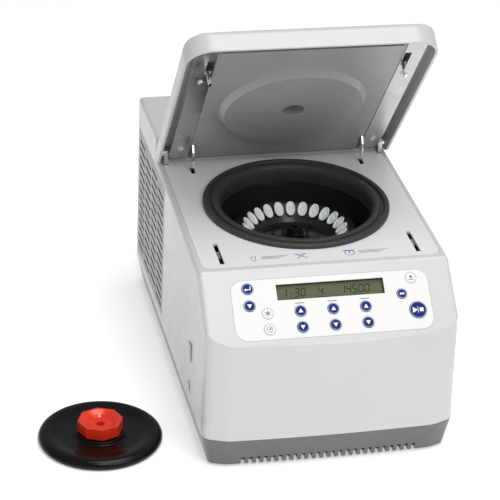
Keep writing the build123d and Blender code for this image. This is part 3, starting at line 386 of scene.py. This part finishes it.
FOOT = Finish("foot_rubber", (0.03, 0.03, 0.03), 0.65, grain_scale=1300, grain_strength=0.5)
CHAMBER = Finish("chamber_enamel", (0.016, 0.016, 0.016), 0.30, coat=0.9, grain_scale=1100,
                 grain_strength=0.06, wave_strength=0.04)
FOAM = Finish("jacket_foam", (0.12, 0.12, 0.13), 0.85, grain_scale=700, grain_strength=0.9,
              grain_depth=0.0003)
COPPER = Finish("coil_copper", (0.72, 0.30, 0.17), 0.28, metal=1.0, grain_scale=900, scuff=0.6)
ENAMEL = Finish("motor_enamel", (0.05, 0.055, 0.06), 0.45, grain_scale=900, grain_strength=0.4)
IRON = Finish("stator_laminations", (0.20, 0.17, 0.15), 0.55, metal=0.7, grain=Grain.BRUSHED_X,
              grain_scale=900)
STEEL = Finish("ground_steel", (0.55, 0.55, 0.56), 0.26, metal=1.0, grain=Grain.BRUSHED_X,
               grain_scale=2600, grain_strength=0.3)
BRIGHT = Finish("bright_plate", (0.78, 0.78, 0.79), 0.14, metal=1.0, grain_scale=1600, grain_strength=0.08)
RAIL = Finish("brushed_stainless", (0.52, 0.52, 0.53), 0.30, metal=1.0, grain=Grain.BRUSHED_LENGTH,
              grain_scale=2600,
              grain_strength=0.45, grain_depth=0.00003)
LINER = Finish("liner_moulding", (0.26, 0.26, 0.26), 0.36, coat=0.3, grain_scale=1900,
               grain_strength=0.16, tone_spread=0.03)
ROTOR = Finish("rotor_anodised", (0.010, 0.010, 0.011), 0.26, coat=0.3, grain=Grain.TURNED, grain_scale=1500,
               grain_strength=0.25, centre=(0.0, -0.028))
NUT = Finish("blackened_nut", (0.06, 0.06, 0.062), 0.2, metal=0.9, coat=0.3, grain=Grain.TURNED,
             grain_scale=1500,
             centre=(0.0, -0.028))
TUBE = Finish("tube_polypropylene", (0.93, 0.94, 0.94), 0.32, soft_inside=0.15, grain_scale=2400,
              tone_spread=0.03)
SMOKE = Finish("smoked_glass", (0.05, 0.05, 0.055), 0.06, coat=1.0, grain_strength=0.02)
CAN = Finish("compressor_enamel", (0.010, 0.010, 0.010), 0.25, coat=0.5, grain_strength=0.2)
FIN = Finish("fin_aluminium_coat", (0.70, 0.71, 0.72), 0.35, metal=1.0, grain=Grain.BRUSHED_X,
             grain_scale=1800, grain_strength=0.5)
FAN = Finish("fan_moulding", (0.015, 0.015, 0.016), 0.42, grain_scale=1500, grain_strength=0.3)
BACK = Finish("back_sheet", (0.55, 0.56, 0.57), 0.45, grain_scale=1300, grain_strength=0.4, tone_spread=0.02)
INLET = Finish("inlet_moulding", (0.014, 0.014, 0.015), 0.4, grain_scale=1900, grain_strength=0.3)
COVER = Finish("cover_anodised", (0.003, 0.003, 0.003), 0.22, specular=0.22, grain=Grain.TURNED,
               grain_scale=1500,
               grain_strength=0.16, centre=(-0.248, -0.148))
KNOB = Finish("knob_anodised", (0.90, 0.040, 0.012), 0.26, metal=0.3, coat=0.3, grain=Grain.TURNED,
              grain_scale=1500,
              grain_strength=0.25, centre=(-0.248, -0.148))
GAUZE = Finish("filter_gauze", (0.02, 0.02, 0.021), 0.9, grain_scale=420, grain_strength=1.0,
               grain_depth=0.0006)


# ---------------------------------------------------------------- putting pieces in the scene
class Bench:
    """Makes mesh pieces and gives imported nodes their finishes."""

    @staticmethod
    def piece(name: str, mesh: tuple[Array, Array], finish: Finish, body: str, slot: str,
              scale: float = MM, sharp_deg: float = 32.0) -> bpy.types.Object:
        """Adds one piece that rides on a body.

        Args:
            name: the piece's name.
            mesh: its points and faces.
            finish: its surface finish.
            body: the body it moves with.
            slot: a material slot of the record; not used.
            scale: metres for each unit of the points.
            sharp_deg: the angle from which an edge is drawn sharp.

        Returns:
            The new object.
        """
        points, faces = mesh
        data = bpy.data.meshes.new(name)
        data.from_pydata((points * scale).tolist(), [], faces.tolist())
        work = bmesh.new()
        work.from_mesh(data)
        bmesh.ops.remove_doubles(work, verts=work.verts, dist=1e-6)
        bmesh.ops.recalc_face_normals(work, faces=work.faces)
        work.to_mesh(data)
        work.free()
        data.polygons.foreach_set("use_smooth", np.ones(len(data.polygons), bool))
        data.set_sharp_from_angle(angle=math.radians(sharp_deg))
        data.materials.append(finish.material())
        made = bpy.data.objects.new(name, data)
        bpy.context.scene.collection.objects.link(made)
        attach(made, body)
        LOG.info("piece %s on %s, %d faces", name, body, len(data.polygons))
        return made

    @staticmethod
    def dress(finish: Finish, *nodes: str) -> None:
        """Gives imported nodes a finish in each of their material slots."""
        for node in nodes:
            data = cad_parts[node].data
            if not data.materials:
                data.materials.append(finish.material())
            for index in range(len(data.materials)):
                data.materials[index] = finish.material()
            LOG.info("node %s dressed in %s", node, finish.name)


# ---------------------------------------------------------------- case
@dataclass
class Case:
    """The housing, deck, base pan, vents and back."""

    vent_y0: float = 44.0
    vent_z0: float = 50.0
    column_pitch: float = 45.5
    columns: int = 4
    rows: int = 14
    row_pitch: float = 11.0
    slot_half: float = 19.0
    lip_x: float = 142.0
    lip_in: float = 5.0

    def louvre_lips(self) -> tuple[Array, Array]:
        """A slanted lip behind the lower edge of each slot: one rounded strip, copied over the grid."""
        inward = -self.lip_in
        outline = Shape.rounded([(0.0, -2.9), (0.0, -1.9), (inward, 0.5), (inward, -0.3)], 0.25, 3)
        ends = np.array([-self.slot_half, self.slot_half])
        strip = np.stack([np.broadcast_to(outline[None, :, 0], (2, len(outline))),
                          np.broadcast_to(ends[:, None], (2, len(outline))),
                          np.broadcast_to(outline[None, :, 1], (2, len(outline)))], -1)
        middle = np.broadcast_to(outline.mean(0), (2, len(outline), 2))
        caps = np.stack([middle[..., 0], strip[..., 1], middle[..., 1]], -1)
        rings = np.stack([caps[0], strip[0], strip[1], caps[1]])
        pattern = (rings.reshape(-1, 3), Shape.quads(4, len(outline), False, True))
        columns, rows = np.arange(self.columns), np.arange(self.rows)
        side, column, row = np.meshgrid([-1.0, 1.0], columns, rows, indexing="ij")
        matrices = np.tile(np.eye(4), (side.size, 1, 1))
        lean = np.tan(math.radians(0.5))
        stagger = np.where(column % 2 == 1, self.row_pitch / 2, 0.0)
        height = self.vent_z0 + 9.0 + stagger + self.row_pitch * row
        matrices[:, 0, 0] = side.ravel()
        matrices[:, 0, 3] = (side * (self.lip_x - (height - 38.0) * lean)).ravel()
        matrices[:, 1, 3] = (self.vent_y0 + 5.0 + self.column_pitch * (column + 0.5)).ravel()
        matrices[:, 2, 3] = height.ravel()
        return Shape.copies(pattern, matrices)

    def filter_sheets(self) -> tuple[Array, Array]:
        """A thin filter sheet behind each vent: a rounded rectangle with two faces."""
        outline = Shape.rounded([(48.0, 54.0), (232.0, 54.0), (232.0, 218.0), (48.0, 218.0)], 6.0, 5)
        sheet, faces = Shape.printed(outline, 135.4, 136.2)
        upright = np.array([[0, 0, 1, 0], [1, 0, 0, 0], [0, 1, 0, 0], [0, 0, 0, 1]], float)
        right = Shape.moved((sheet, faces), upright)
        left = (right[0] * np.array([-1.0, 1.0, 1.0]), right[1])
        return Shape.joined([left, right])

    def build(self) -> None:
        """Dresses the case's nodes and adds the louvres and filters."""
        Bench.dress(CASE, "upper_housing", "side_fittings")
        # the deck's lighter white is partly painted light
        Bench.dress(DECK_LIT, "deck_plate")
        Bench.dress(BASE, "base_tray")
        # the dark grey of the vent grilles is painted shade
        Bench.dress(VENT_SHADED, "side_vent_grilles")
        Bench.dress(FOOT, "rubber_feet", "motor_dampers")
        Bench.dress(BACK, "rear_panel")
        Bench.dress(STEEL, "case_screws", "hinge_lugs", "shaft_bearings", "left_lock_pawl", "right_lock_pawl")
        Bench.dress(INLET, "mains_inlet", "switch_frame", "power_rocker", "lock_units")
        Bench.piece("vent_louvres", self.louvre_lips(), VENT_SHADED, "case", "vent_white")
        Bench.piece("vent_filters", self.filter_sheets(), GAUZE, "case", "foam_grey")


# ---------------------------------------------------------------- deck marks
@dataclass
class DeckMarks:
    """Plain generic signs printed on the deck in front of the chamber."""

    place_y: float = -150.0
    low: float = 0.004
    high: float = 0.05
    line: float = 0.7

    def tube_sign(self) -> list[Array]:
        """A small open tube: its two sides, its round end and its rim."""
        return [Shape.bar(-3.2, 4.6, 3.2, 4.6, self.line), Shape.bar(-2.4, 4.6, -2.0, -2.6, self.line),
                Shape.bar(2.4, 4.6, 2.0, -2.6, self.line), Shape.bar(-2.0, -2.6, 0.0, -5.0, self.line),
                Shape.bar(2.0, -2.6, 0.0, -5.0, self.line)]

    def cross_sign(self) -> list[Array]:
        """Two long crossed strokes over a short one."""
        return [Shape.bar(-7.0, 5.0, 6.5, -5.0, 1.0), Shape.bar(-5.0, -5.2, 6.0, 5.2, 1.0),
                Shape.bar(-4.6, 3.6, 3.6, 4.4, 0.8)]

    def rule_lines(self, x: float, count: int, long: float) -> list[Array]:
        """Plain rules in place of a printed notice."""
        return [Shape.bar(x, 3.4 - 2.3 * k, x + long - 5.0 * k, 3.4 - 2.3 * k, 0.75) for k in range(count)]

    def strokes(self, outlines: Sequence[Array], x: float) -> tuple[Array, Array]:
        """The strokes as one print, placed on the deck at x."""
        plan = Place.deck() @ Place.slid(x, self.place_y - Place.ROTOR_Y)
        return Shape.moved(Shape.joined([Shape.printed(o, self.low, self.high) for o in outlines]), plan)

    def build(self) -> None:
        """Prints the signs."""
        tube_sign = self.strokes(self.tube_sign() + self.rule_lines(9.0, 3, 30.0), -76.0)
        Bench.piece("deck_tube_sign", tube_sign, INK_GREY, "case", "deck_white")
        Bench.piece("deck_cross_sign", self.strokes(self.cross_sign(), -22.0), INK_BLUE, "case", "deck_white")
        bars = [Shape.bar(-6.0, 5.2, 6.0, 5.2, 1.6), Shape.bar(0.0, 5.0, 0.0, -1.0, 1.2)]
        rotor_sign = self.strokes(bars, 34.0)
        plan = Place.deck() @ Place.slid(34.0, self.place_y - Place.ROTOR_Y)
        ring = Shape.moved(Shape.ring(5.0, 5.8, self.low, self.high), plan)
        Bench.piece("deck_rotor_sign", Shape.joined([rotor_sign, ring]), INK_BLUE, "case", "deck_white")
        rules = self.strokes(self.rule_lines(0.0, 3, 34.0), 45.0)
        Bench.piece("deck_rules", rules, INK_GREY, "case", "deck_white")


# ---------------------------------------------------------------- keypad
class Sign(Enum):
    """What a key shows."""

    ENTER = "enter"
    UP = "up"
    DOWN = "down"
    COLD = "cold"
    DIAL = "dial"
    OPEN = "open"
    SHORT = "short"
    START = "start"


@dataclass(frozen=True)
class Key:
    """One key: its node, its place on the slope, its radius, its finish and its sign."""

    node: str
    x: float
    down: float
    radius: float
    blue: bool
    sign: Sign


KEY_R = 6.7
KEYS = (
    Key("menu_key", -93.0, 23.0, KEY_R, True, Sign.ENTER),
    Key("menu_down_key", -93.0, 42.8, KEY_R, True, Sign.DOWN),
    Key("fast_cool_key", -74.0, 52.8, KEY_R, False, Sign.COLD),
    Key("fan_key", -74.0, 71.2, KEY_R, False, Sign.DIAL),
    Key("time_up_key", -37.0, 52.3, KEY_R, True, Sign.UP),
    Key("time_down_key", -37.0, 70.9, KEY_R, True, Sign.DOWN),
    Key("temperature_up_key", 0.0, 52.3, KEY_R, True, Sign.UP),
    Key("temperature_down_key", 0.0, 70.9, KEY_R, True, Sign.DOWN),
    Key("speed_up_key", 37.0, 52.3, KEY_R, True, Sign.UP),
    Key("speed_down_key", 37.0, 70.9, KEY_R, True, Sign.DOWN),
    Key("open_key", 93.0, 22.6, KEY_R, False, Sign.OPEN),
    Key("short_run_key", 80.0, 40.7, 6.0, True, Sign.SHORT),
    Key("start_stop_key", 95.5, 60.7, 10.0, True, Sign.START),
)


@dataclass
class Keypad:
    """The keypad foil, its keys with their signs, and the display."""

    key_top: float = 0.9
    print_low: float = 0.005
    print_high: float = 0.06
    line: float = 0.85
    glass_face: float = -4.55
    digit_high: float = 8.6
    digit_wide: float = 4.6
    digit_pitch: float = 7.0
    digit_lean: float = 0.12
    segment: float = 1.15

    def sign_outlines(self, key: Key) -> list[Array]:
        """The outlines of a key's sign, drawn for a key of radius KEY_R."""
        up = Shape.regular(3.1, 3, math.pi / 2, 0.0, -0.4)
        down = Shape.regular(3.1, 3, -math.pi / 2, 0.0, 0.4)
        spokes = np.radians([90.0, 30.0, 150.0])
        ends = [(3.6 * math.cos(a), 3.6 * math.sin(a)) for a in spokes]
        cold = [Shape.bar(u, v, -u, -v, self.line) for u, v in ends]
        choices = {
            Sign.UP: [up],
            Sign.DOWN: [down],
            Sign.ENTER: [Shape.bar(3.2, 2.4, 3.2, -1.0, 1.1), Shape.bar(3.2, -1.0, -1.4, -1.0, 1.1),
                         Shape.regular(2.0, 3, math.pi, -2.2, -1.0)],
            Sign.COLD: cold,
            Sign.DIAL: [Shape.bar(0.0, 0.0, 2.2, 2.2, self.line), Shape.regular(0.9, 16)],
            Sign.OPEN: [Shape.regular(2.4, 3, math.pi / 2, 0.0, 0.9), Shape.bar(-2.4, -2.3, 2.4, -2.3, 1.0)],
            Sign.SHORT: [Shape.regular(2.2, 3, 0.0, -1.6, 0.0), Shape.regular(2.2, 3, 0.0, 1.7, 0.0)],
            Sign.START: [Shape.regular(2.6, 3, 0.0, -2.9, 0.0), Shape.regular(2.1, 4, math.pi / 4, 2.6, 0.0),
                         Shape.bar(-0.1, -2.4, -0.1, 2.4, 0.35)],
        }
        return choices[key.sign]

    def sign_mesh(self, key: Key) -> tuple[Array, Array]:
        """The key's sign and its rim line, laid on the key's top."""
        low, high = self.key_top + self.print_low, self.key_top + self.print_high
        size = key.radius / KEY_R
        parts = [Shape.printed(o * size, low, high) for o in self.sign_outlines(key)]
        parts.append(Shape.ring(key.radius - 1.0, key.radius - 0.65, low, high))
        if key.sign is Sign.DIAL:
            parts.append(Shape.ring(2.9, 3.5, low, high))
        spot = Place.panel() @ Place.slid(key.x + Place.PANEL_SHIFT, -key.down)
        return Shape.moved(Shape.joined(parts), spot)

    def digit_segments(self, figure: str) -> list[Array]:
        """The strokes of a seven-segment figure, with its foot at v = 0."""
        w, h, s = self.digit_wide, self.digit_high, self.segment
        m = h / 2
        gap = s * 0.55
        places = {"a": (gap, h, w - gap, h), "b": (w, h - gap, w, m + gap), "c": (w, m - gap, w, gap),
                  "d": (gap, 0, w - gap, 0), "e": (0, m - gap, 0, gap), "f": (0, h - gap, 0, m + gap),
                  "g": (gap, m, w - gap, m)}
        lit = {"0": "abcdef", "1": "bc", "2": "abged", "3": "abgcd", "4": "fgbc", "5": "afgcd", "6": "afgedc",
               "7": "abc", "8": "abcdefg", "9": "abcdfg", "-": "g", " ": ""}
        return [Shape.bar(*places[k], s, 3) for k in lit[figure]]

    def display_mesh(self) -> tuple[Array, Array]:
        """Three groups of figures on the display glass, leaned by a shear u += lean v."""
        groups = ((-54.0, "1 30"), (-20.0, " 4"), (12.0, "14500"))
        outlines = [o + np.array([x + self.digit_pitch * k, 0.0]) for x, text in groups
                    for k, figure in enumerate(text) for o in self.digit_segments(figure)]
        outlines += [Shape.regular(0.6, 10, 0.0, -54.0 + self.digit_pitch * 1.4, v) for v in (2.6, 5.8)]
        outlines += [Shape.bar(u, -2.6, u + 16.0, -2.6, 0.45) for u in (-46.0, -16.0, 24.0)]
        leaned = [o + np.stack([o[:, 1] * self.digit_lean, np.full(len(o), -33.4)], -1) for o in outlines]
        low, high = self.glass_face + 0.01, self.glass_face + 0.06
        flat = Shape.joined([Shape.printed(o, low, high) for o in leaned])
        return Shape.moved(flat, Place.panel() @ Place.slid(Place.PANEL_SHIFT, 0.0))

    def group_marks(self) -> tuple[Array, Array]:
        """A short plain rule over each pair of keys, on the foil."""
        outlines = [Shape.bar(x - 5.0, -43.0, x + 5.0, -43.0, 0.9) for x in (-37.0, 0.0, 37.0)]
        flat = Shape.joined([Shape.printed(o, 0.155, 0.2) for o in outlines])
        return Shape.moved(flat, Place.panel() @ Place.slid(Place.PANEL_SHIFT, 0.0))

    def build(self) -> None:
        """Dresses the keypad and prints its signs and figures."""
        Bench.dress(FOIL, "keypad_foil")
        Bench.dress(BEZEL, "display_bezel")
        Bench.dress(DISPLAY, "display_glass")
        Bench.dress(BOARD, "control_board", "power_supply")
        for key in KEYS:
            Bench.dress(KEY_BLUE if key.blue else KEY_WHITE, key.node)
            ink, slot = (INK_WHITE, "key_blue") if key.blue else (INK_GREY, "key_white")
            Bench.piece(key.node + "_sign", self.sign_mesh(key), ink, key.node, slot)
        Bench.piece("display_figures", self.display_mesh(), SEGMENT, "case", "display_olive")
        Bench.piece("foil_marks", self.group_marks(), INK_GREY, "case", "foil_white")


# ---------------------------------------------------------------- chamber and rotor
@dataclass
class Chamber:
    """The seal ring, the coated bowl and what lies round them."""

    segments: int = 192
    bowl_radius: float = 94.0
    bowl_wall: float = 1.5
    bowl_floor: float = 140.0
    bowl_curve: float = 14.0
    shaft_hole: float = 12.0

    def seal(self) -> tuple[Array, Array]:
        """The seal ring's rounded profile carried round the deck's normal."""
        band = [(109.4, 0.06), (109.4, 4.4), (108.2, 5.5), (103.8, 5.5)]
        groove = [(102.9, 2.2), (99.6, 2.2)]
        ridge = [(98.6, 5.5), (93.2, 5.5), (90.0, 3.0)]
        skirt = [(88.8, -2.0), (89.2, -16.6), (91.6, -16.6), (92.7, -6.0), (92.8, 0.06)]
        profile = Shape.rounded(band + groove + ridge + skirt, 0.6, 5)
        return Shape.moved(Shape.lathe(profile, self.segments), Place.deck())

    def bowl(self) -> tuple[Array, Array]:
        """The bowl's wall: straight sides, a quarter round at the foot and a flat floor."""
        r, w, c, z = self.bowl_radius, self.bowl_wall, self.bowl_curve, self.bowl_floor
        a = np.linspace(0.0, math.pi / 2, 14)
        inner = np.stack([r - c + c * np.cos(a), z + c - c * np.sin(a)], -1)
        outer = np.stack([r - c + (c + w) * np.cos(a), z + c - (c + w) * np.sin(a)], -1)
        top = 214.0
        hole = [[self.shaft_hole, z], [self.shaft_hole, z - w]]
        profile = np.concatenate([[[r, top]], inner, hole, outer[::-1], [[r + w, top]]])
        points, faces = Shape.lathe(profile, self.segments)
        points[:, 1] += Place.ROTOR_Y
        return points, faces

    def build(self) -> None:
        """Replaces the plain ring and bowl, and dresses the rest of the chamber."""
        ring = Bench.piece("seal_ring", self.seal(), SEAL, "case", "seal_black")
        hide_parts("chamber_gasket")
        bowl = Bench.piece("coated_bowl", self.bowl(), CHAMBER, "case", "chamber_black")
        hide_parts("rotor_chamber")
        Bench.dress(FOAM, "chamber_insulation")
        Bench.dress(COPPER, "cooling_coil")
        Bench.dress(ENAMEL, "motor_housing")
        Bench.dress(IRON, "motor_stator")


@dataclass
class Rotor:
    """The angled rotor with its ring of capped tubes."""

    count: int = 24
    seat_radius: float = 57.5
    seat_height: float = 191.0
    tilt: float = math.radians(135.0)
    cap_radius: float = 5.6
    cap_long: float = 8.9
    tube_radius: float = 5.0

    def places(self) -> Array:
        """One matrix a tube: a turn by a_k about Z, out to the seat radius, then the tube's tilt about Y."""
        a = 2 * math.pi * (np.arange(self.count) + 0.5) / self.count
        c, s, ct, st = np.cos(a), np.sin(a), math.cos(self.tilt), math.sin(self.tilt)
        made = np.zeros((self.count, 4, 4))
        made[:, 0, 0], made[:, 0, 1], made[:, 0, 2] = c * ct, -s, c * st
        made[:, 1, 0], made[:, 1, 1], made[:, 1, 2] = s * ct, c, s * st
        made[:, 2, 0], made[:, 2, 2] = -st, ct
        made[:, 0, 3] = self.seat_radius * c
        made[:, 1, 3] = Place.ROTOR_Y + self.seat_radius * s
        made[:, 2, 3] = self.seat_height
        made[:, 3, 3] = 1.0
        return made

    def oval(self, grow: float) -> Array:
        """The cap's long outline, u = a cos t, v = b sin t with the sides drawn flatter, grown by a gap."""
        t = np.linspace(0.0, 2 * math.pi, 32, endpoint=False)
        flat = np.sign(np.sin(t)) * np.abs(np.sin(t)) ** 0.8
        return np.stack([(self.cap_long + grow) * np.cos(t), (self.cap_radius + grow) * flat], -1)

    def tube(self) -> tuple[Array, Array]:
        """One capped tube: a lathed body below a long oval cap with a raised rim and a round boss."""
        r = self.tube_radius
        outline = [(0.0, -3.0), (r - 0.6, -3.0), (r, -2.6), (r, 29.0), (2.1, 36.2), (0.0, 37.0)]
        body = Shape.lathe(Shape.rounded(outline, 0.35, 3, closed=False), 28, closed=False)
        dish = [(0.0, -3.35), (0.62, -3.35), (0.72, -3.6), (0.80, -4.2), (0.92, -4.35)]
        edge = [(0.98, -4.2), (1.0, -3.8), (1.0, -2.9), (0.96, -2.6), (0.0, -2.6)]
        cap = Shape.puck(self.oval(0.0), dish + edge)
        knob = [(0.0, -3.95), (2.0, -3.95), (2.6, -3.4), (2.6, -3.2), (0.0, -3.2)]
        boss = Shape.lathe(Shape.rounded(knob, 0.3, 3, closed=False), 20, closed=False)
        return Shape.joined([body, cap, boss])

    def build(self) -> None:
        """Replaces the plain tubes and dresses the rotor."""
        ring = Shape.copies(self.tube(), self.places())
        tubes = Bench.piece("capped_tubes", ring, TUBE, "spinning_rotor", "tube_clear")
        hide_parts("sample_tubes")
        Bench.dress(ROTOR, "rotor")
        Bench.dress(NUT, "rotor_nut")
        Bench.dress(STEEL, "drive_shaft")


# ---------------------------------------------------------------- lid
@dataclass
class Lid:
    """The raised lid with its liner, rails, arms and hooks."""

    def build(self) -> None:
        """Dresses the lid's nodes."""
        # the lid's darker white is painted shade
        Bench.dress(LID_SHADED, "lid_shell")
        Bench.dress(LINER, "lid_liner")
        Bench.dress(RAIL, "lid_rails")
        Bench.dress(BRIGHT, "rail_fasteners", "lid_strikers", "lid_arms", "hinge_pins", "hinge_springs")
        Bench.dress(SMOKE, "sight_glass")


# ---------------------------------------------------------------- rotor lid on the bench
@dataclass
class RotorLid:
    """The black rotor lid with its red knob, lying beside the machine."""

    x: float = -248.0
    y: float = -148.0
    segments: int = 160
    radius: float = 71.0
    bore: float = 7.2

    def placed(self, mesh: tuple[Array, Array]) -> tuple[Array, Array]:
        """The mesh moved to where the lid lies."""
        return mesh[0] + np.array([self.x, self.y, 0.0]), mesh[1]

    def cover(self) -> tuple[Array, Array]:
        """A lathed disc: a sharp foot, a fat rim that rises to a crest, a shallow dish and a flat hub."""
        r = self.radius
        under = [(self.bore, 1.5), (24.0, 1.5), (26.0, 4.0), (56.0, 4.0), (58.0, 0.0), (66.0, 0.0)]
        rim = [(69.5, 1.2), (r, 4.5), (r, 6.2), (69.4, 9.4), (66.2, 11.6), (62.0, 12.4)]
        dish = [(56.0, 11.4), (49.0, 9.4), (38.0, 8.6), (30.0, 8.6)]
        hub = [(28.5, 9.4), (28.5, 11.6), (27.5, 12.0), (self.bore, 12.0)]
        return self.placed(Shape.lathe(Shape.rounded(under + rim + dish + hub, 2.4, 6), self.segments))

    def build(self) -> None:
        """Replaces the plain disc and dresses the knob."""
        cover = Bench.piece("rotor_cover_disc", self.cover(), COVER, "rotor_cover", "lid_black")
        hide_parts("rotor_lid")
        Bench.dress(KNOB, "rotor_lid_knob")


# ---------------------------------------------------------------- inside
@dataclass
class Inside:
    """The refrigeration and power parts behind the vents."""

    def build(self) -> None:
        """Dresses the inner nodes."""
        Bench.dress(CAN, "compressor")
        Bench.dress(FIN, "condenser")
        Bench.dress(FAN, "fan_shroud", "fan_wheel")


# ---------------------------------------------------------------- stage
@dataclass
class Studio:
    """The camera, the lights and the pale floor."""

    yaw: float = 0.2213
    pitch: float = 0.4552
    roll: float = 0.0334
    stand: tuple[float, float, float] = (-0.51222, -2.06825, 1.19208)
    lens: float = 142.36
    sensor: float = 36.0

    def camera(self) -> None:
        """Stands the camera where it sees the machine from its upper front left."""
        sy, cy, sp, cp = math.sin(self.yaw), math.cos(self.yaw), math.sin(self.pitch), math.cos(self.pitch)
        ahead = Vector((sy * cp, cy * cp, -sp))
        level = Vector((cy, -sy, 0.0))
        rise = level.cross(ahead)
        right = math.cos(self.roll) * level + math.sin(self.roll) * rise
        up = -math.sin(self.roll) * level + math.cos(self.roll) * rise
        data = bpy.data.cameras.new("camera")
        data.lens = self.lens
        data.sensor_width = self.sensor
        data.clip_start, data.clip_end = 0.05, 50.0
        camera = bpy.data.objects.new("camera", data)
        turn = Matrix((right, up, -ahead)).transposed().to_4x4()
        camera.matrix_world = Matrix.Translation(self.stand) @ turn
        bpy.context.scene.collection.objects.link(camera)
        bpy.context.scene.camera = camera

    def lamp(self, name: str, at: Sequence[float], power: float, size: float) -> None:
        """A soft square light aimed at the middle of the machine."""
        data = bpy.data.lights.new(name, "AREA")
        data.energy = power
        data.size = size
        lamp = bpy.data.objects.new(name, data)
        lamp.location = at
        aim = Vector((0.0, -0.02, 0.18)) - Vector(at)
        lamp.rotation_euler = aim.to_track_quat("-Z", "Y").to_euler()
        bpy.context.scene.collection.objects.link(lamp)

    def floor(self) -> None:
        """A wide pale floor."""
        data = bpy.data.meshes.new("floor")
        half = 12.0
        corner = [(-half, -half, 0.0), (half, -half, 0.0), (half, half, 0.0), (-half, half, 0.0)]
        data.from_pydata(corner, [], [(0, 1, 2, 3)])
        made = bpy.data.materials.new("floor_paper")
        made.use_nodes = True
        shader = made.node_tree.nodes["Principled BSDF"]
        shader.inputs["Base Color"].default_value = (0.93, 0.93, 0.93, 1.0)
        shader.inputs["Roughness"].default_value = 0.9
        shader.inputs["Emission Color"].default_value = (1.0, 1.0, 1.0, 1.0)
        shader.inputs["Emission Strength"].default_value = 0.42
        data.materials.append(made)
        floor = bpy.data.objects.new("floor", data)
        bpy.context.scene.collection.objects.link(floor)

    def build(self) -> None:
        """Sets up the view, the lights and the surroundings."""
        scene = bpy.context.scene
        scene.view_settings.view_transform = "Standard"
        world = bpy.data.worlds.new("studio")
        world.use_nodes = True
        backdrop = world.node_tree.nodes["Background"]
        backdrop.inputs["Color"].default_value = (1.0, 1.0, 1.0, 1.0)
        backdrop.inputs["Strength"].default_value = 0.34
        scene.world = world
        self.camera()
        self.floor()
        self.lamp("key_light", (0.9, -2.2, 2.0), 20.0, 1.6)
        self.lamp("top_light", (0.3, -0.3, 2.4), 27.0, 1.5)
        self.lamp("left_light", (-2.0, -1.4, 1.1), 1.0, 1.2)
        self.lamp("bowl_light", (-0.25, -1.1, 1.5), 4.0, 0.25)


def corners(bounds: tuple[Vector, Vector]) -> list[list[float]]:
    """The two corners of a box as plain lists."""
    return [[float(v) for v in corner] for corner in bounds]


def main() -> None:
    """Builds the machine group by group."""
    logging.basicConfig(level=logging.INFO)
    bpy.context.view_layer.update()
    for group in (Case(), DeckMarks(), Keypad(), Chamber(), Rotor(), Lid(), RotorLid(), Inside(), Studio()):
        group.build()
        LOG.info("%s done", type(group).__name__)


if __name__ == "__main__":
    main()
